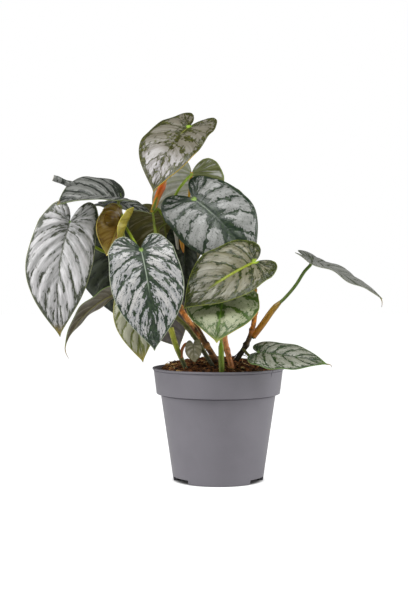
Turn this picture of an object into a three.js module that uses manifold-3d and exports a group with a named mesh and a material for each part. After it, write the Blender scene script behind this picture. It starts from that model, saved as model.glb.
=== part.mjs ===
// A potted silver leaf philodendron: heart-shaped leaf blades on leafy stems that stand in
// the soil of a round nursery pot. Millimetres, +Z up, the origin under the pot's axis on
// the plane that the pot stands on, and -Y the side that faces the viewer.
import * as THREE from 'three';
import { mergeVertices } from 'three/addons/utils/BufferGeometryUtils.js';
import Module from 'manifold-3d';

const wasm = await Module();
wasm.setup();

// pot, heights above the plane it stands on and radii from its axis
const POT_HEIGHT = 103;
const POT_RIM_RADIUS = 60;
const POT_LIP_HEIGHT = 2;
const POT_LIP_OVERHANG = 0.9;
const POT_WALL = 1.3;
const POT_BAND_FOOT = 79;
const POT_BAND_FOOT_RADIUS = 56.3;
const POT_BODY_TOP_RADIUS = 52.5;
const POT_BASE_RADIUS = 41;
const POT_FOOT_WIDTH = 2.7;
const POT_FLOOR_UNDERSIDE = 4.3;
const POT_FLOOR_TOP = 5.8;
const POT_BOSS_RADIUS = 7;
const POT_SIDES = 52;
const NOTCH_ANGLES = [-60, 62, 180];
const NOTCH_WIDTH = 27;
const NOTCH_HEIGHT = 4.2;
const DRAIN_COUNT = 6;
const DRAIN_RADIUS = 3.5;
const DRAIN_CIRCLE = 22;

// soil: a mound that falls away to the wall, roughened by seeded lumps
const SOIL_SIDES = 28;
const SOIL_RINGS = 7;
const SOIL_TOP = 104;
const SOIL_MOUND = 6;
const SOIL_MOUND_REACH = 50;
const SOIL_EDGE_DROP = 8;
const SOIL_EDGE_START = 47;
const SOIL_EDGE_WIDTH = 10;
const SOIL_LUMP = 1.1;
const CHIP_COUNT = 10;
const CHIP_LENGTH = 7;
const CLEARANCE = 0.3;

// blades: the outline of half a blade from the back of its lobe to the tip. Along the midrib
// it counts in lobe lengths behind the stalk and in blade lengths ahead of it, and sideways
// in half widths.
const MARGIN = [
  [-0.90, 0.27], [-1.0, 0.43], [-0.84, 0.64], [-0.42, 0.80], [0.05, 0.92], [0.22, 0.99],
  [0.38, 1.0], [0.54, 0.90], [0.68, 0.70], [0.80, 0.45], [0.89, 0.235], [0.955, 0.075], [1.0, 0.0],
];
const BLADE_THICKNESS = 0.7;
const FAN_SHARE = 0.34; // share of the rows that fan out from the stalk into the lobe
const BLADE_ROWS = 12;
const BLADE_COLUMNS = 3;
const SINUS_BOW = 0.16;
const VEIN_BOW = 0.13;
const LIFT_REACH = 0.25;
const WAVE_COUNT = 2.5;
const WAVE_SHIFT = 0.9;

// Each leaf: at is where its stalk meets the blade, tip its point and face the way its upper
// side looks. Angles are in degrees: arch bends the midrib back, fold lifts the halves from
// it, cup curls them, lift raises the lobes. lobe is the lobe's length for each unit of the
// blade's, bow the midrib's sideways sweep and wave the height of the margin's waves.
const LEAVES = {
  leaf_crown: {
    at: [-26.5, 2, 322], tip: [-57.5, -42, 258.5], face: [-0.1, -0.8, 0.6], width: 62,
    lobe: 0.26, arch: 38, fold: 6, cup: -14, lift: 6, wave: 1.2, bow: -4,
    widthPlus: 0.84, widthMinus: 0.93,
  },
  leaf_behind_crown: {
    at: [-24.5, 27, 282.5], tip: [-33.5, 28, 203], face: [0, 1, 0.15], width: 68,
    lobe: 0.19, arch: 16, fold: 4, cup: -14, lift: 4,
  },
  leaf_upper_right: {
    at: [-22, -18, 255], tip: [31, -32, 195], face: [0.14, -1, 0.28], width: 66,
    lobe: 0.22, arch: 30, fold: 4, cup: -20, lift: 8, widthPlus: 1.1, widthMinus: 1.14, bow: 3,
  },
  leaf_right: {
    at: [31.5, -52, 198.5], tip: [-31, -74, 158], face: [0.15, -0.8, 0.75], width: 60,
    lobe: 0.18, arch: 30, fold: 10, cup: -18, lift: 6, widthPlus: 0.84, widthMinus: 1.06, bow: 0,
  },
  leaf_front_low: {
    at: [6, -46, 174], tip: [-2.5, -88, 129.5], face: [-0.06, -0.62, 0.8], width: 64,
    lobe: 0.18, arch: 40, fold: 4, cup: -22, lift: 6,
  },
  leaf_over_rim: {
    at: [34, -46, 119.5], tip: [94, -62, 110], face: [0.08, -0.5, 0.8], width: 46,
    lobe: 0.1, arch: 14, fold: 10, cup: -20, lift: 0, widthPlus: 0.76,
  },
  leaf_far_right: {
    at: [84, -6, 201.5], tip: [148, -14, 165.5], face: [0.38, -0.16, 0.9], width: 62,
    lobe: 0.2, arch: 12, fold: 6, cup: -10, lift: 0, wave: 1.8, waves: 2, phase: 3,
  },
  leaf_front: {
    at: [-66.5, -72, 208.5], tip: [-54.5, -86, 122.5], face: [0.06, -1, 0.16], width: 63,
    lobe: 0.15, arch: 26, fold: 8, cup: -16, lift: 22, wave: 1, widthPlus: 0.97, widthMinus: 1, bow: 2,
  },
  leaf_left: {
    at: [-131, -36, 234], tip: [-139, -44, 132], face: [-0.1, -1, 0.15], width: 68,
    lobe: 0.18, arch: 24, fold: 10, cup: -20, lift: 14, wave: 1.2, bow: -5,
    widthPlus: 0.86, widthMinus: 0.9,
  },
  leaf_upper_left: {
    at: [-86, -34, 253], tip: [-141, -54, 247.5], face: [-0.06, -0.4, 0.9], width: 62,
    lobe: 0.1, arch: 34, fold: 24, cup: -18, wave: 0.4, bow: 2, widthMinus: 1.2,
  },
  leaf_edge_on: {
    at: [-104, 0, 252.5], tip: [-59.5, -16, 241.5], face: [0.16, -0.32, 0.93], width: 36,
    lobe: 0.2, arch: 34, fold: 4, cup: -12,
  },
  leaf_young: {
    at: [-84.5, -42, 238.5], tip: [-98, -50, 203.5], face: [0.18, -1, 0.15], width: 56,
    lobe: 0.2, arch: 10, fold: 30, cup: 128, foldMinus: 0.25, widthMinus: 0.72,
  },
  leaf_inner: {
    at: [-51, 13, 245], tip: [-42.5, 13, 171.5], face: [0.1, 1, 0.3], width: 72,
    lobe: 0.13, arch: 20, fold: 4, cup: -16,
  },
  leaf_shade_left: {
    at: [-96.5, 7, 221], tip: [-90, 16, 145.5], face: [-0.1, -1, 0.15], width: 70,
    lobe: 0.22, arch: 20, fold: 4, cup: -16, widthPlus: 0.55,
  },
  leaf_low_left: {
    at: [-92, -19, 171], tip: [-136.5, -31, 124], face: [-0.7, 0.16, 0.6], width: 50,
    lobe: 0.2, arch: 50, fold: 8, cup: -10,
  },
  leaf_low_front: {
    at: [-69.5, -47, 179], tip: [-65.5, -60, 111], face: [-0.1, -1, 0.3], width: 44,
    lobe: 0.2, arch: 24, fold: 6, cup: -16, bow: -2, widthPlus: 0.85,
  },
  leaf_low_inner: {
    at: [-58, 3, 168], tip: [-35, 6, 120], face: [-0.3, 0.9, 0.35], width: 46,
    lobe: 0.22, arch: 16, fold: 6, cup: -10,
  },
  leaf_small: {
    at: [-22.5, -42, 126.5], tip: [-21, -46, 110], face: [-0.1, -1, 0.3], width: 15,
    lobe: 0.22, arch: 30, fold: 10, cup: -20,
  },
  leaf_shade_right: {
    at: [-31, -3, 219], tip: [-30, -6, 160.5], face: [0.1, -1, 0.3], width: 38,
    lobe: 0.22, arch: 16, fold: 6, cup: -16, widthPlus: 0.6,
  },
  leaf_back_right: {
    at: [4.5, 66, 259.5], tip: [11.5, 92, 200], face: [0.15, 1, 0.35], width: 54,
    lobe: 0.2, arch: 26, fold: 6, cup: -16,
  },
  leaf_back_middle: {
    at: [-64.5, 56, 238], tip: [-76, 84, 172.5], face: [-0.1, 1, 0.35], width: 62,
    lobe: 0.2, arch: 26, fold: 6, cup: -16,
  },
  leaf_back_low: {
    at: [12, 48, 199.5], tip: [4.5, 72, 141.5], face: [0.1, 1, 0.35], width: 50,
    lobe: 0.2, arch: 26, fold: 6, cup: -16,
  },
  leaf_back_left: {
    at: [-118.5, 34, 223.5], tip: [-145, 52, 170.5], face: [-0.3, 1, 0.35], width: 54,
    lobe: 0.2, arch: 22, fold: 6, cup: -16,
  },
  leaf_back_top: {
    at: [-52, 50, 306], tip: [-44, 72, 258], face: [0.05, 1, 0.35], width: 36,
    lobe: 0.18, arch: 26, fold: 6, cup: -16,
  },
};

// Stems: each is a main shoot and the stalks that branch from it. A stalk that names a leaf
// ends at that leaf's blade, from below. The first path of a stem starts at the soil.
const STEMS = {
  stem_middle: [
    { radius: 2.6, path: [[-1.5, -24, 110], [-11, -22, 124.5], [-21, -18, 137.5], [-34.5, -15, 157.5],
      [-47, -18, 187], [-55.5, -13, 218.5], [-59.5, -4, 244]] },
    { radius: 1.6, leaf: 'leaf_crown', path: [[-59.5, -4, 245], [-55, 4, 259], [-49, 12, 273.5],
      [-40.5, 15, 295], [-32.5, 16, 313.5]] },
    { radius: 2.8, path: [[-59.5, -4, 244], [-55, 4, 259], [-48, 11, 275]] },
    { radius: 1.3, leaf: 'leaf_inner', path: [[-59.5, -4, 242.5], [-55.5, -3, 247]] },
    { radius: 1.2, leaf: 'leaf_low_inner', path: [[-42.5, -17, 176], [-53, -10, 175.5]] },
    { radius: 1.2, leaf: 'leaf_shade_right', path: [[-55.5, -13, 218.5], [-53, -3, 230.5],
      [-42, 1, 235.5], [-35, 3, 230]] },
  ],
  stem_right: [
    { radius: 2.6, path: [[11, -38, 107], [7.5, -34, 120.5], [5, -30, 133], [3, -20, 155.5],
      [2.5, -2, 182.5], [0.5, 6, 210], [-5.5, 4, 232.5]] },
    { radius: 1.4, leaf: 'leaf_right', path: [[2.5, -4, 178], [17.5, -20, 179], [27.5, -38, 186]] },
    { radius: 1.4, leaf: 'leaf_upper_right', path: [[-5, 4, 230], [-14, 2, 248]] },
    { radius: 1.3, leaf: 'leaf_behind_crown', path: [[-3, 4, 222.5], [-24, 2, 235.5], [-41, 0, 250],
      [-37.5, 2, 262.5], [-29.5, 8, 274]] },
    { radius: 1.3, leaf: 'leaf_back_low', path: [[2.5, 2, 189.5], [11.5, 30, 195.5]] },
  ],
  stem_back: [
    { radius: 2.4, path: [[16, -12, 109.5], [25, -14, 124], [30.5, -13, 137.5], [33, -12, 153.5],
      [32.5, -4, 173.5], [26.5, 8, 199], [20.5, 28, 219.5]] },
    { radius: 1.5, leaf: 'leaf_far_right', path: [[30.5, -14, 130], [39.5, -12, 142], [50.5, -10, 157],
      [60.5, -8, 166.5], [70, -6, 177.5], [78, -6, 190]] },
    { radius: 2.5, path: [[31, -14, 131], [39.5, -12, 142], [50.5, -10, 157], [60.5, -8, 166.5]] },
    { radius: 1.3, leaf: 'leaf_over_rim', path: [[22, -14, 120.5], [28, -30, 115]] },
    { radius: 1.3, leaf: 'leaf_back_top', path: [[20.5, 28, 219], [8, 42, 240], [-17, 44, 262],
      [-38, 46, 281]] },
    { radius: 1.3, leaf: 'leaf_back_right', path: [[23, 20, 210], [15.5, 44, 233.5], [6, 56, 251]] },
    { radius: 1.3, leaf: 'leaf_back_middle', path: [[21.5, 26, 217], [-2.5, 36, 223.5], [-31, 44, 228],
      [-55, 46, 231.5]] },
  ],
  stem_left: [
    { radius: 2.2, path: [[-8.5, -33, 111.5], [-18.5, -31, 127.5], [-28, -30, 140.5],
      [-39.5, -30, 151.5], [-52, -30, 166.5], [-68, -26, 187], [-81, -22, 209.5], [-86.5, -24, 229],
      [-87, -26, 243]] },
    { radius: 1.3, leaf: 'leaf_front', path: [[-86.5, -24, 229], [-85, -34, 233.5], [-79.5, -44, 225.5]] },
    { radius: 1.4, leaf: 'leaf_left', path: [[-81.5, -22, 210], [-94.5, -20, 206], [-106, -18, 209.5],
      [-119.5, -20, 218.5]] },
    { radius: 1.4, leaf: 'leaf_upper_left', path: [[-87, -26, 243], [-87, -28, 247.5]] },
    { radius: 1.2, leaf: 'leaf_edge_on', path: [[-87, -26, 242], [-97.5, -16, 242.5],
      [-103.5, -8, 245.5]] },
    { radius: 1.1, leaf: 'leaf_young', path: [[-87, -26, 237.5], [-85.5, -32, 241]] },
    { radius: 1.3, leaf: 'leaf_shade_left', path: [[-86.5, -24, 229], [-92, -6, 241], [-96, 10, 238]] },
    { radius: 1.3, leaf: 'leaf_low_left', path: [[-68, -26, 187], [-80, -28, 177.5]] },
    { radius: 1.2, leaf: 'leaf_back_left', path: [[-91, 0, 237.5], [-97, 17, 239], [-107, 27, 236]] },
  ],
  shoot_front: [
    { radius: 2.6, path: [[2.5, -47, 104], [2, -46, 119.5], [2, -44, 134.5]] },
    { radius: 1.6, leaf: 'leaf_front_low', path: [[2, -44, 132.5], [3, -38, 149], [5.5, -34, 163]] },
  ],
  shoot_left: [
    { radius: 2.2, path: [[-31.5, -36, 110], [-37, -34, 122.5], [-42.5, -32, 140]] },
    { radius: 1.5, leaf: 'leaf_low_front', path: [[-42.5, -32, 139], [-53.5, -36, 160.5],
      [-64, -38, 172]] },
    { radius: 1, leaf: 'leaf_small', path: [[-33, -36, 113.5], [-32.5, -34, 120.5], [-29, -32, 126]] },
  ],
};
const ROOT_DEPTH = 14;
const STEM_SIDES = 6;
const STALK_SIDES = 5;
const NODE_SWELLING = 1.45;
const STALK_INSET = 1.6;
const STALK_BEND = 5;
const STALK_GAP = 0.75;
const HOLE_CLEARANCE = 0.45;
const HOLE_FOOT = 4;
const STEPS_A_SPAN = 2;

const COLOURS = {
  pot: { color: 0x78757c, roughness: 0.45, metalness: 0 },
  soil: { color: 0x3d2819, roughness: 0.95, metalness: 0 },
  stem: { color: 0x8a5a2a, roughness: 0.5, metalness: 0 },
  shoot: { color: 0x6f8a2c, roughness: 0.45, metalness: 0 },
  blade: { color: 0x9fa39c, roughness: 0.4, metalness: 0 },
  young: { color: 0x8a7a2a, roughness: 0.35, metalness: 0 },
};

const radians = THREE.MathUtils.degToRad;

function randomSource(seed) {
  let state = seed >>> 0;
  return () => {
    state = (Math.imul(state, 1664525) + 1013904223) >>> 0;
    return state / 4294967296;
  };
}

function smooth(t) {
  const k = Math.min(1, Math.max(0, t));
  return k * k * (3 - 2 * k);
}

// solids for joining and cutting

function toSolid(geometry) {
  const bare = geometry.clone();
  bare.deleteAttribute('normal');
  bare.deleteAttribute('uv');
  const merged = mergeVertices(bare, 1e-4);
  const vertProperties = new Float32Array(merged.attributes.position.array);
  const triVerts = new Uint32Array(merged.index.array);
  return new wasm.Manifold(new wasm.Mesh({ numProp: 3, vertProperties, triVerts }));
}

function toGeometry(solid) {
  const mesh = solid.getMesh();
  const geometry = new THREE.BufferGeometry();
  const positions = new Float32Array(mesh.vertProperties);
  geometry.setAttribute('position', new THREE.BufferAttribute(positions, 3));
  geometry.setIndex(new THREE.BufferAttribute(new Uint32Array(mesh.triVerts), 1));
  geometry.computeVertexNormals();
  return geometry;
}

function placed(geometry, position, rotationZ = 0) {
  const copy = geometry.clone();
  copy.rotateZ(rotationZ);
  copy.translate(position.x, position.y, position.z);
  return copy;
}

function sub(name, geometry, finish) {
  const mesh = new THREE.Mesh(geometry, new THREE.MeshStandardMaterial(finish));
  mesh.name = name;
  return mesh;
}

// the pot

function potGeometry() {
  const bandRadius = (z) => {
    const climb = (z - POT_BAND_FOOT) / (POT_HEIGHT - POT_BAND_FOOT);
    return POT_BAND_FOOT_RADIUS + (POT_RIM_RADIUS - POT_LIP_OVERHANG - POT_BAND_FOOT_RADIUS) * climb;
  };
  const bodyRadius = (z) => POT_BASE_RADIUS + (POT_BODY_TOP_RADIUS - POT_BASE_RADIUS) * (z / POT_BAND_FOOT);
  const lipFoot = POT_HEIGHT - POT_LIP_HEIGHT;
  const shelf = POT_BAND_FOOT + POT_WALL;
  const profile = [
    [0, 0],
    [POT_BOSS_RADIUS, 0],
    [POT_BOSS_RADIUS, POT_FLOOR_UNDERSIDE],
    [bodyRadius(POT_FLOOR_UNDERSIDE) - POT_FOOT_WIDTH, POT_FLOOR_UNDERSIDE],
    [POT_BASE_RADIUS - POT_FOOT_WIDTH, 0],
    [POT_BASE_RADIUS, 0],
    [bodyRadius(POT_BAND_FOOT), POT_BAND_FOOT],
    [POT_BAND_FOOT_RADIUS, POT_BAND_FOOT],
    [bandRadius(lipFoot), lipFoot],
    [POT_RIM_RADIUS, lipFoot + 0.4],
    [POT_RIM_RADIUS, POT_HEIGHT - 0.4],
    [POT_RIM_RADIUS - 0.6, POT_HEIGHT],
    [bandRadius(POT_HEIGHT) - POT_WALL, POT_HEIGHT],
    [bandRadius(shelf) - POT_WALL, shelf],
    [bodyRadius(shelf) - POT_WALL, shelf],
    [bodyRadius(POT_FLOOR_TOP) - POT_WALL, POT_FLOOR_TOP],
    [0, POT_FLOOR_TOP],
  ].map(([radius, z]) => new THREE.Vector2(radius, z));
  const shell = new THREE.LatheGeometry(profile, POT_SIDES);
  shell.rotateX(Math.PI / 2);
  let solid = toSolid(shell);
  const notch = new THREE.BoxGeometry(NOTCH_WIDTH, 14, 2 * NOTCH_HEIGHT);
  for (const angle of NOTCH_ANGLES) {
    const turn = radians(angle);
    const centre = new THREE.Vector3(Math.sin(turn), -Math.cos(turn), 0);
    centre.multiplyScalar(POT_BASE_RADIUS - POT_FOOT_WIDTH / 2);
    solid = solid.subtract(toSolid(placed(notch, centre, turn)));
  }
  const drain = new THREE.CylinderGeometry(DRAIN_RADIUS, DRAIN_RADIUS, 20, 10);
  drain.rotateX(Math.PI / 2);
  for (let i = 0; i < DRAIN_COUNT; i += 1) {
    const turn = (i / DRAIN_COUNT) * 2 * Math.PI;
    const centre = new THREE.Vector3(Math.cos(turn) * DRAIN_CIRCLE, Math.sin(turn) * DRAIN_CIRCLE, 5);
    solid = solid.subtract(toSolid(placed(drain, centre)));
  }
  return toGeometry(solid);
}

// tubes along a curve, and the stems that are made of them

function pathCurve(points) {
  return new THREE.CatmullRomCurve3(points, false, 'centripetal');
}

function tubeGeometry(points, radius, sides, steps) {
  const section = new THREE.Shape();
  for (let i = 0; i < sides; i += 1) {
    const turn = (i / sides) * 2 * Math.PI;
    const x = Math.cos(turn) * radius;
    const y = Math.sin(turn) * radius;
    if (i === 0) {
      section.moveTo(x, y);
    } else {
      section.lineTo(x, y);
    }
  }
  section.closePath();
  const options = { steps, extrudePath: pathCurve(points), bevelEnabled: false };
  return new THREE.ExtrudeGeometry(section, options);
}

function shootPoints(path) {
  const points = path.map((p) => new THREE.Vector3(...p));
  const down = points[0].clone().sub(points[1]).normalize();
  const root = points[0].clone().addScaledVector(down, ROOT_DEPTH);
  return [root, ...points];
}

function stalkPoints(part) {
  const points = part.path.map((p) => new THREE.Vector3(...p));
  if (!part.leaf) {
    return points;
  }
  const frame = bladeFrame(LEAVES[part.leaf]);
  const seat = frame.at.clone().addScaledVector(frame.x, STALK_INSET);
  const bend = seat.clone().addScaledVector(frame.z, -STALK_BEND);
  const end = seat.clone().addScaledVector(frame.z, -STALK_GAP);
  return [...points, bend, end];
}

function stemSolid(parts) {
  let solid = null;
  parts.forEach((part, index) => {
    const isShoot = index === 0;
    const points = isShoot ? shootPoints(part.path) : stalkPoints(part);
    const steps = (points.length - 1) * STEPS_A_SPAN;
    const sides = isShoot ? STEM_SIDES : STALK_SIDES;
    const tube = toSolid(tubeGeometry(points, part.radius, sides, steps));
    solid = solid ? solid.add(tube) : tube;
    if (isShoot) {
      points.slice(2, -1).forEach((point) => {
        const swelling = new THREE.SphereGeometry(part.radius * NODE_SWELLING, 5, 2);
        solid = solid.add(toSolid(placed(swelling, point)));
      });
    }
  });
  return solid;
}

// the soil, with a plain hole for each shoot

function soilHeight(x, y) {
  const mound = SOIL_MOUND * (1 - (x * x + (y - 5) * (y - 5)) / (SOIL_MOUND_REACH * SOIL_MOUND_REACH));
  const drop = SOIL_EDGE_DROP * smooth((Math.hypot(x, y) - SOIL_EDGE_START) / SOIL_EDGE_WIDTH);
  const lumps = Math.sin(x * 0.61 + 1.3) * Math.cos(y * 0.53) + 0.6 * Math.sin(x * 0.23 - y * 0.37);
  return SOIL_TOP + Math.max(mound, -2) - drop + SOIL_LUMP * lumps * 0.6;
}

function soilGeometry(stems) {
  const random = randomSource(41);
  const wallGap = POT_WALL + CLEARANCE;
  const topRadius = POT_BAND_FOOT_RADIUS + 1.6 - wallGap;
  const shelf = POT_BAND_FOOT + POT_WALL + CLEARANCE;
  const side = [
    [POT_BAND_FOOT_RADIUS - wallGap - 0.1, shelf],
    [POT_BODY_TOP_RADIUS - wallGap - 0.3, shelf],
    [POT_BASE_RADIUS + 0.6 - wallGap, POT_FLOOR_TOP + CLEARANCE],
  ];
  const positions = [];
  const index = [];
  const ring = (radius, height) => {
    for (let i = 0; i < SOIL_SIDES; i += 1) {
      const turn = (i / SOIL_SIDES) * 2 * Math.PI;
      const x = radius * Math.cos(turn);
      const y = radius * Math.sin(turn);
      positions.push(x, y, height === null ? soilHeight(x, y) + SOIL_LUMP * (random() - 0.5) : height);
    }
  };
  positions.push(0, 0, soilHeight(0, 0));
  for (let r = 1; r <= SOIL_RINGS; r += 1) {
    ring((r / SOIL_RINGS) * topRadius, null);
  }
  side.forEach(([radius, z]) => ring(radius, z));
  positions.push(0, 0, POT_FLOOR_TOP + CLEARANCE);
  const ringCount = SOIL_RINGS + side.length;
  const last = positions.length / 3 - 1;
  for (let i = 0; i < SOIL_SIDES; i += 1) {
    const next = (i + 1) % SOIL_SIDES;
    index.push(0, 1 + i, 1 + next);
    for (let r = 0; r < ringCount - 1; r += 1) {
      const a = 1 + r * SOIL_SIDES;
      const b = a + SOIL_SIDES;
      index.push(a + i, b + i, b + next, a + i, b + next, a + next);
    }
    const rim = 1 + (ringCount - 1) * SOIL_SIDES;
    index.push(last, rim + next, rim + i);
  }
  const geometry = new THREE.BufferGeometry();
  geometry.setAttribute('position', new THREE.Float32BufferAttribute(positions, 3));
  geometry.setIndex(index);
  let solid = toSolid(geometry);
  for (let i = 0; i < CHIP_COUNT; i += 1) {
    const reach = (POT_BAND_FOOT_RADIUS - 8) * Math.sqrt(random());
    const turn = random() * 2 * Math.PI;
    const size = CHIP_LENGTH * (0.6 + 0.6 * random());
    const chip = new THREE.BoxGeometry(size, size * 0.5, size * 0.3);
    chip.rotateX((random() - 0.5) * 0.9);
    chip.rotateY((random() - 0.5) * 0.9);
    const x = reach * Math.cos(turn);
    const y = reach * Math.sin(turn);
    const spot = new THREE.Vector3(x, y, soilHeight(x, y) + 0.1);
    solid = solid.add(toSolid(placed(chip, spot, random() * Math.PI)));
  }
  for (const parts of stems) {
    const shoot = parts[0];
    const points = shootPoints(shoot.path);
    const below = points[0].clone().sub(points[1]).normalize();
    const floor = points[0].clone().addScaledVector(below, CLEARANCE);
    const above = points[0].clone().addScaledVector(below, -HOLE_FOOT);
    const radius = shoot.radius + HOLE_CLEARANCE;
    const hole = tubeGeometry(points, radius, STEM_SIDES, (points.length - 1) * STEPS_A_SPAN);
    const foot = tubeGeometry([floor, above], radius, STEM_SIDES, 1);
    solid = solid.subtract(toSolid(hole)).subtract(toSolid(foot));
  }
  const pieces = solid.decompose();
  pieces.sort((a, b) => b.volume() - a.volume());
  return toGeometry(pieces[0]);
}

// leaf blades

function marginPoint(t) {
  const last = MARGIN.length - 1;
  const k = Math.min(Math.floor(t * last), last - 1);
  const f = t * last - k;
  const pick = (i) => MARGIN[Math.max(0, Math.min(last, i))];
  const before = k === 0 ? [2 * MARGIN[0][0] - MARGIN[1][0], 2 * MARGIN[0][1] - MARGIN[1][1]] : pick(k - 1);
  const after = k === last - 1
    ? [2 * MARGIN[last][0] - MARGIN[last - 1][0], 2 * MARGIN[last][1] - MARGIN[last - 1][1]]
    : pick(k + 2);
  const [p, q] = [pick(k), pick(k + 1)];
  return [0, 1].map((axis) => {
    const slope = q[axis] - before[axis];
    const bend = 2 * before[axis] - 5 * p[axis] + 4 * q[axis] - after[axis];
    const twist = 3 * p[axis] + after[axis] - before[axis] - 3 * q[axis];
    return 0.5 * (2 * p[axis] + slope * f + bend * f * f + twist * f * f * f);
  });
}

function bladeFrame(leaf) {
  const at = new THREE.Vector3(...leaf.at);
  const chord = new THREE.Vector3(...leaf.tip).sub(at);
  const reach = chord.length();
  const along = chord.clone().normalize();
  const normal = new THREE.Vector3(...leaf.face);
  normal.addScaledVector(along, -normal.dot(along)).normalize();
  const arch = radians(leaf.arch);
  const length = (reach * arch) / (2 * Math.sin(arch / 2));
  const cos = Math.cos(arch / 2);
  const sin = Math.sin(arch / 2);
  const x = along.clone().multiplyScalar(cos).addScaledVector(normal, sin);
  const z = along.clone().multiplyScalar(-sin).addScaledVector(normal, cos);
  return { at, x, z, y: z.clone().cross(x), length, arch };
}

// place on the flat half blade: row runs from the notch round to the tip, column from the
// midrib out to the margin
function flatPoint(row, column, length, half, lobe) {
  const margin = marginPoint(row);
  const end = new THREE.Vector2(margin[0] * (margin[0] < 0 ? lobe : length), margin[1] * half);
  const start = new THREE.Vector2(0, 0);
  let bow = 0;
  if (row <= FAN_SHARE) {
    const k = row / FAN_SHARE;
    bow = k < 0.25 ? SINUS_BOW * (1 - 8 * k) : SINUS_BOW * ((k - 0.25) / 0.75 - 1);
  } else {
    const k = (row - FAN_SHARE) / (1 - FAN_SHARE);
    start.x = length * k ** 1.12;
    bow = VEIN_BOW * smooth(k * 4);
  }
  const span = end.clone().sub(start);
  const middle = start.clone().addScaledVector(span, 0.5);
  middle.x -= span.y * bow;
  middle.y += span.x * bow;
  const rest = 1 - column;
  return new THREE.Vector2(
    rest * rest * start.x + 2 * column * rest * middle.x + column * column * end.x,
    rest * rest * start.y + 2 * column * rest * middle.y + column * column * end.y,
  );
}

// point on the middle surface of the bent blade
function bladePoint(leaf, frame, row, column, side) {
  const share = side > 0 ? (leaf.widthPlus ?? 1) : (leaf.widthMinus ?? 1);
  const half = leaf.width / 2;
  const flat = flatPoint(row, column, frame.length, half * share, leaf.lobe * frame.length);
  const t = flat.x / frame.length;
  const sway = 4 * (leaf.bow ?? 0) * (t > 0 ? t * (1 - t) : t);
  const turn = t > 0 ? frame.arch : radians(leaf.lift ?? 0) / LIFT_REACH;
  let ribX = flat.x;
  let ribZ = 0;
  if (Math.abs(turn) > 1e-6) {
    ribX = (Math.sin(turn * t) / turn) * frame.length;
    ribZ = ((1 - Math.cos(turn * t)) / turn) * frame.length * (t > 0 ? -1 : 1);
  }
  const pitch = t > 0 ? -turn * t : turn * t;
  const foldShare = side > 0 ? (leaf.foldPlus ?? 1) : (leaf.foldMinus ?? 1);
  const fold = radians(leaf.fold) * foldShare;
  const curl = (radians(leaf.cup) * foldShare) / half;
  const out = Math.abs(flat.y);
  const lateral = (Math.sin(fold + curl * out) - Math.sin(fold)) / curl;
  const shift = (leaf.phase ?? 0) + (side < 0 ? WAVE_SHIFT : 0);
  const waves = 2 * Math.PI * (leaf.waves ?? WAVE_COUNT) * t + shift;
  const rise = (Math.cos(fold) - Math.cos(fold + curl * out)) / curl
    + (leaf.wave ?? 1) * Math.sin(waves) * (out / half) ** 2;
  return frame.at.clone()
    .addScaledVector(frame.x, ribX - rise * Math.sin(pitch))
    .addScaledVector(frame.y, side * lateral + sway)
    .addScaledVector(frame.z, ribZ + rise * Math.cos(pitch));
}

// middle surface: both halves share the midrib, the stalk's point and the tip
function bladeSurface(leaf) {
  const frame = bladeFrame(leaf);
  const points = [];
  const faces = [];
  const known = new Map();
  const vertex = (row, column, side) => {
    const onRib = column === 0;
    const fanned = row / BLADE_ROWS <= FAN_SHARE;
    let key = `${side}:${row}:${column}`;
    if (row === BLADE_ROWS) {
      key = 'tip';
    } else if (onRib && fanned) {
      key = 'stalk';
    } else if (onRib) {
      key = `rib:${row}`;
    }
    if (!known.has(key)) {
      known.set(key, points.length);
      points.push(bladePoint(leaf, frame, row / BLADE_ROWS, column / BLADE_COLUMNS, side));
    }
    return known.get(key);
  };
  const addFace = (a, b, c) => {
    if (a !== b && b !== c && a !== c) {
      faces.push([a, b, c]);
    }
  };
  for (const side of [1, -1]) {
    for (let row = 0; row < BLADE_ROWS; row += 1) {
      for (let column = 0; column < BLADE_COLUMNS; column += 1) {
        const a = vertex(row, column, side);
        const b = vertex(row, column + 1, side);
        const c = vertex(row + 1, column, side);
        const d = vertex(row + 1, column + 1, side);
        if (side > 0) {
          addFace(a, d, b);
          addFace(a, c, d);
        } else {
          addFace(a, b, d);
          addFace(a, d, c);
        }
      }
    }
  }
  return { points, faces };
}

// closed blade: the surface moved up and down by half its thickness, with a rim between
function bladeGeometry(leaf) {
  const { points, faces } = bladeSurface(leaf);
  const normals = points.map(() => new THREE.Vector3());
  const edges = new Map();
  for (const [a, b, c] of faces) {
    const normal = points[b].clone().sub(points[a]).cross(points[c].clone().sub(points[a]));
    [a, b, c].forEach((i) => normals[i].add(normal));
    [[a, b], [b, c], [c, a]].forEach(([from, to]) => edges.set(`${from}_${to}`, [from, to]));
  }
  const positions = [];
  for (const lift of [BLADE_THICKNESS / 2, -BLADE_THICKNESS / 2]) {
    points.forEach((point, i) => {
      const moved = point.clone().addScaledVector(normals[i].clone().normalize(), lift);
      positions.push(moved.x, moved.y, moved.z);
    });
  }
  const under = points.length;
  const index = [];
  for (const [a, b, c] of faces) {
    index.push(a, b, c, under + a, under + c, under + b);
  }
  for (const [from, to] of edges.values()) {
    if (!edges.has(`${to}_${from}`)) {
      index.push(to, from, under + from, to, under + from, under + to);
    }
  }
  const geometry = new THREE.BufferGeometry();
  geometry.setAttribute('position', new THREE.Float32BufferAttribute(positions, 3));
  geometry.setIndex(index);
  geometry.computeVertexNormals();
  return geometry;
}

const plant = new THREE.Group();
plant.add(sub('pot', potGeometry(), COLOURS.pot));
plant.add(sub('soil', soilGeometry(Object.values(STEMS)), COLOURS.soil));
for (const [name, parts] of Object.entries(STEMS)) {
  const finish = name.startsWith('shoot') ? COLOURS.shoot : COLOURS.stem;
  plant.add(sub(name, toGeometry(stemSolid(parts)), finish));
}
for (const [name, leaf] of Object.entries(LEAVES)) {
  const finish = name === 'leaf_young' ? COLOURS.young : COLOURS.blade;
  plant.add(sub(name, bladeGeometry(leaf), finish));
}

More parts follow.
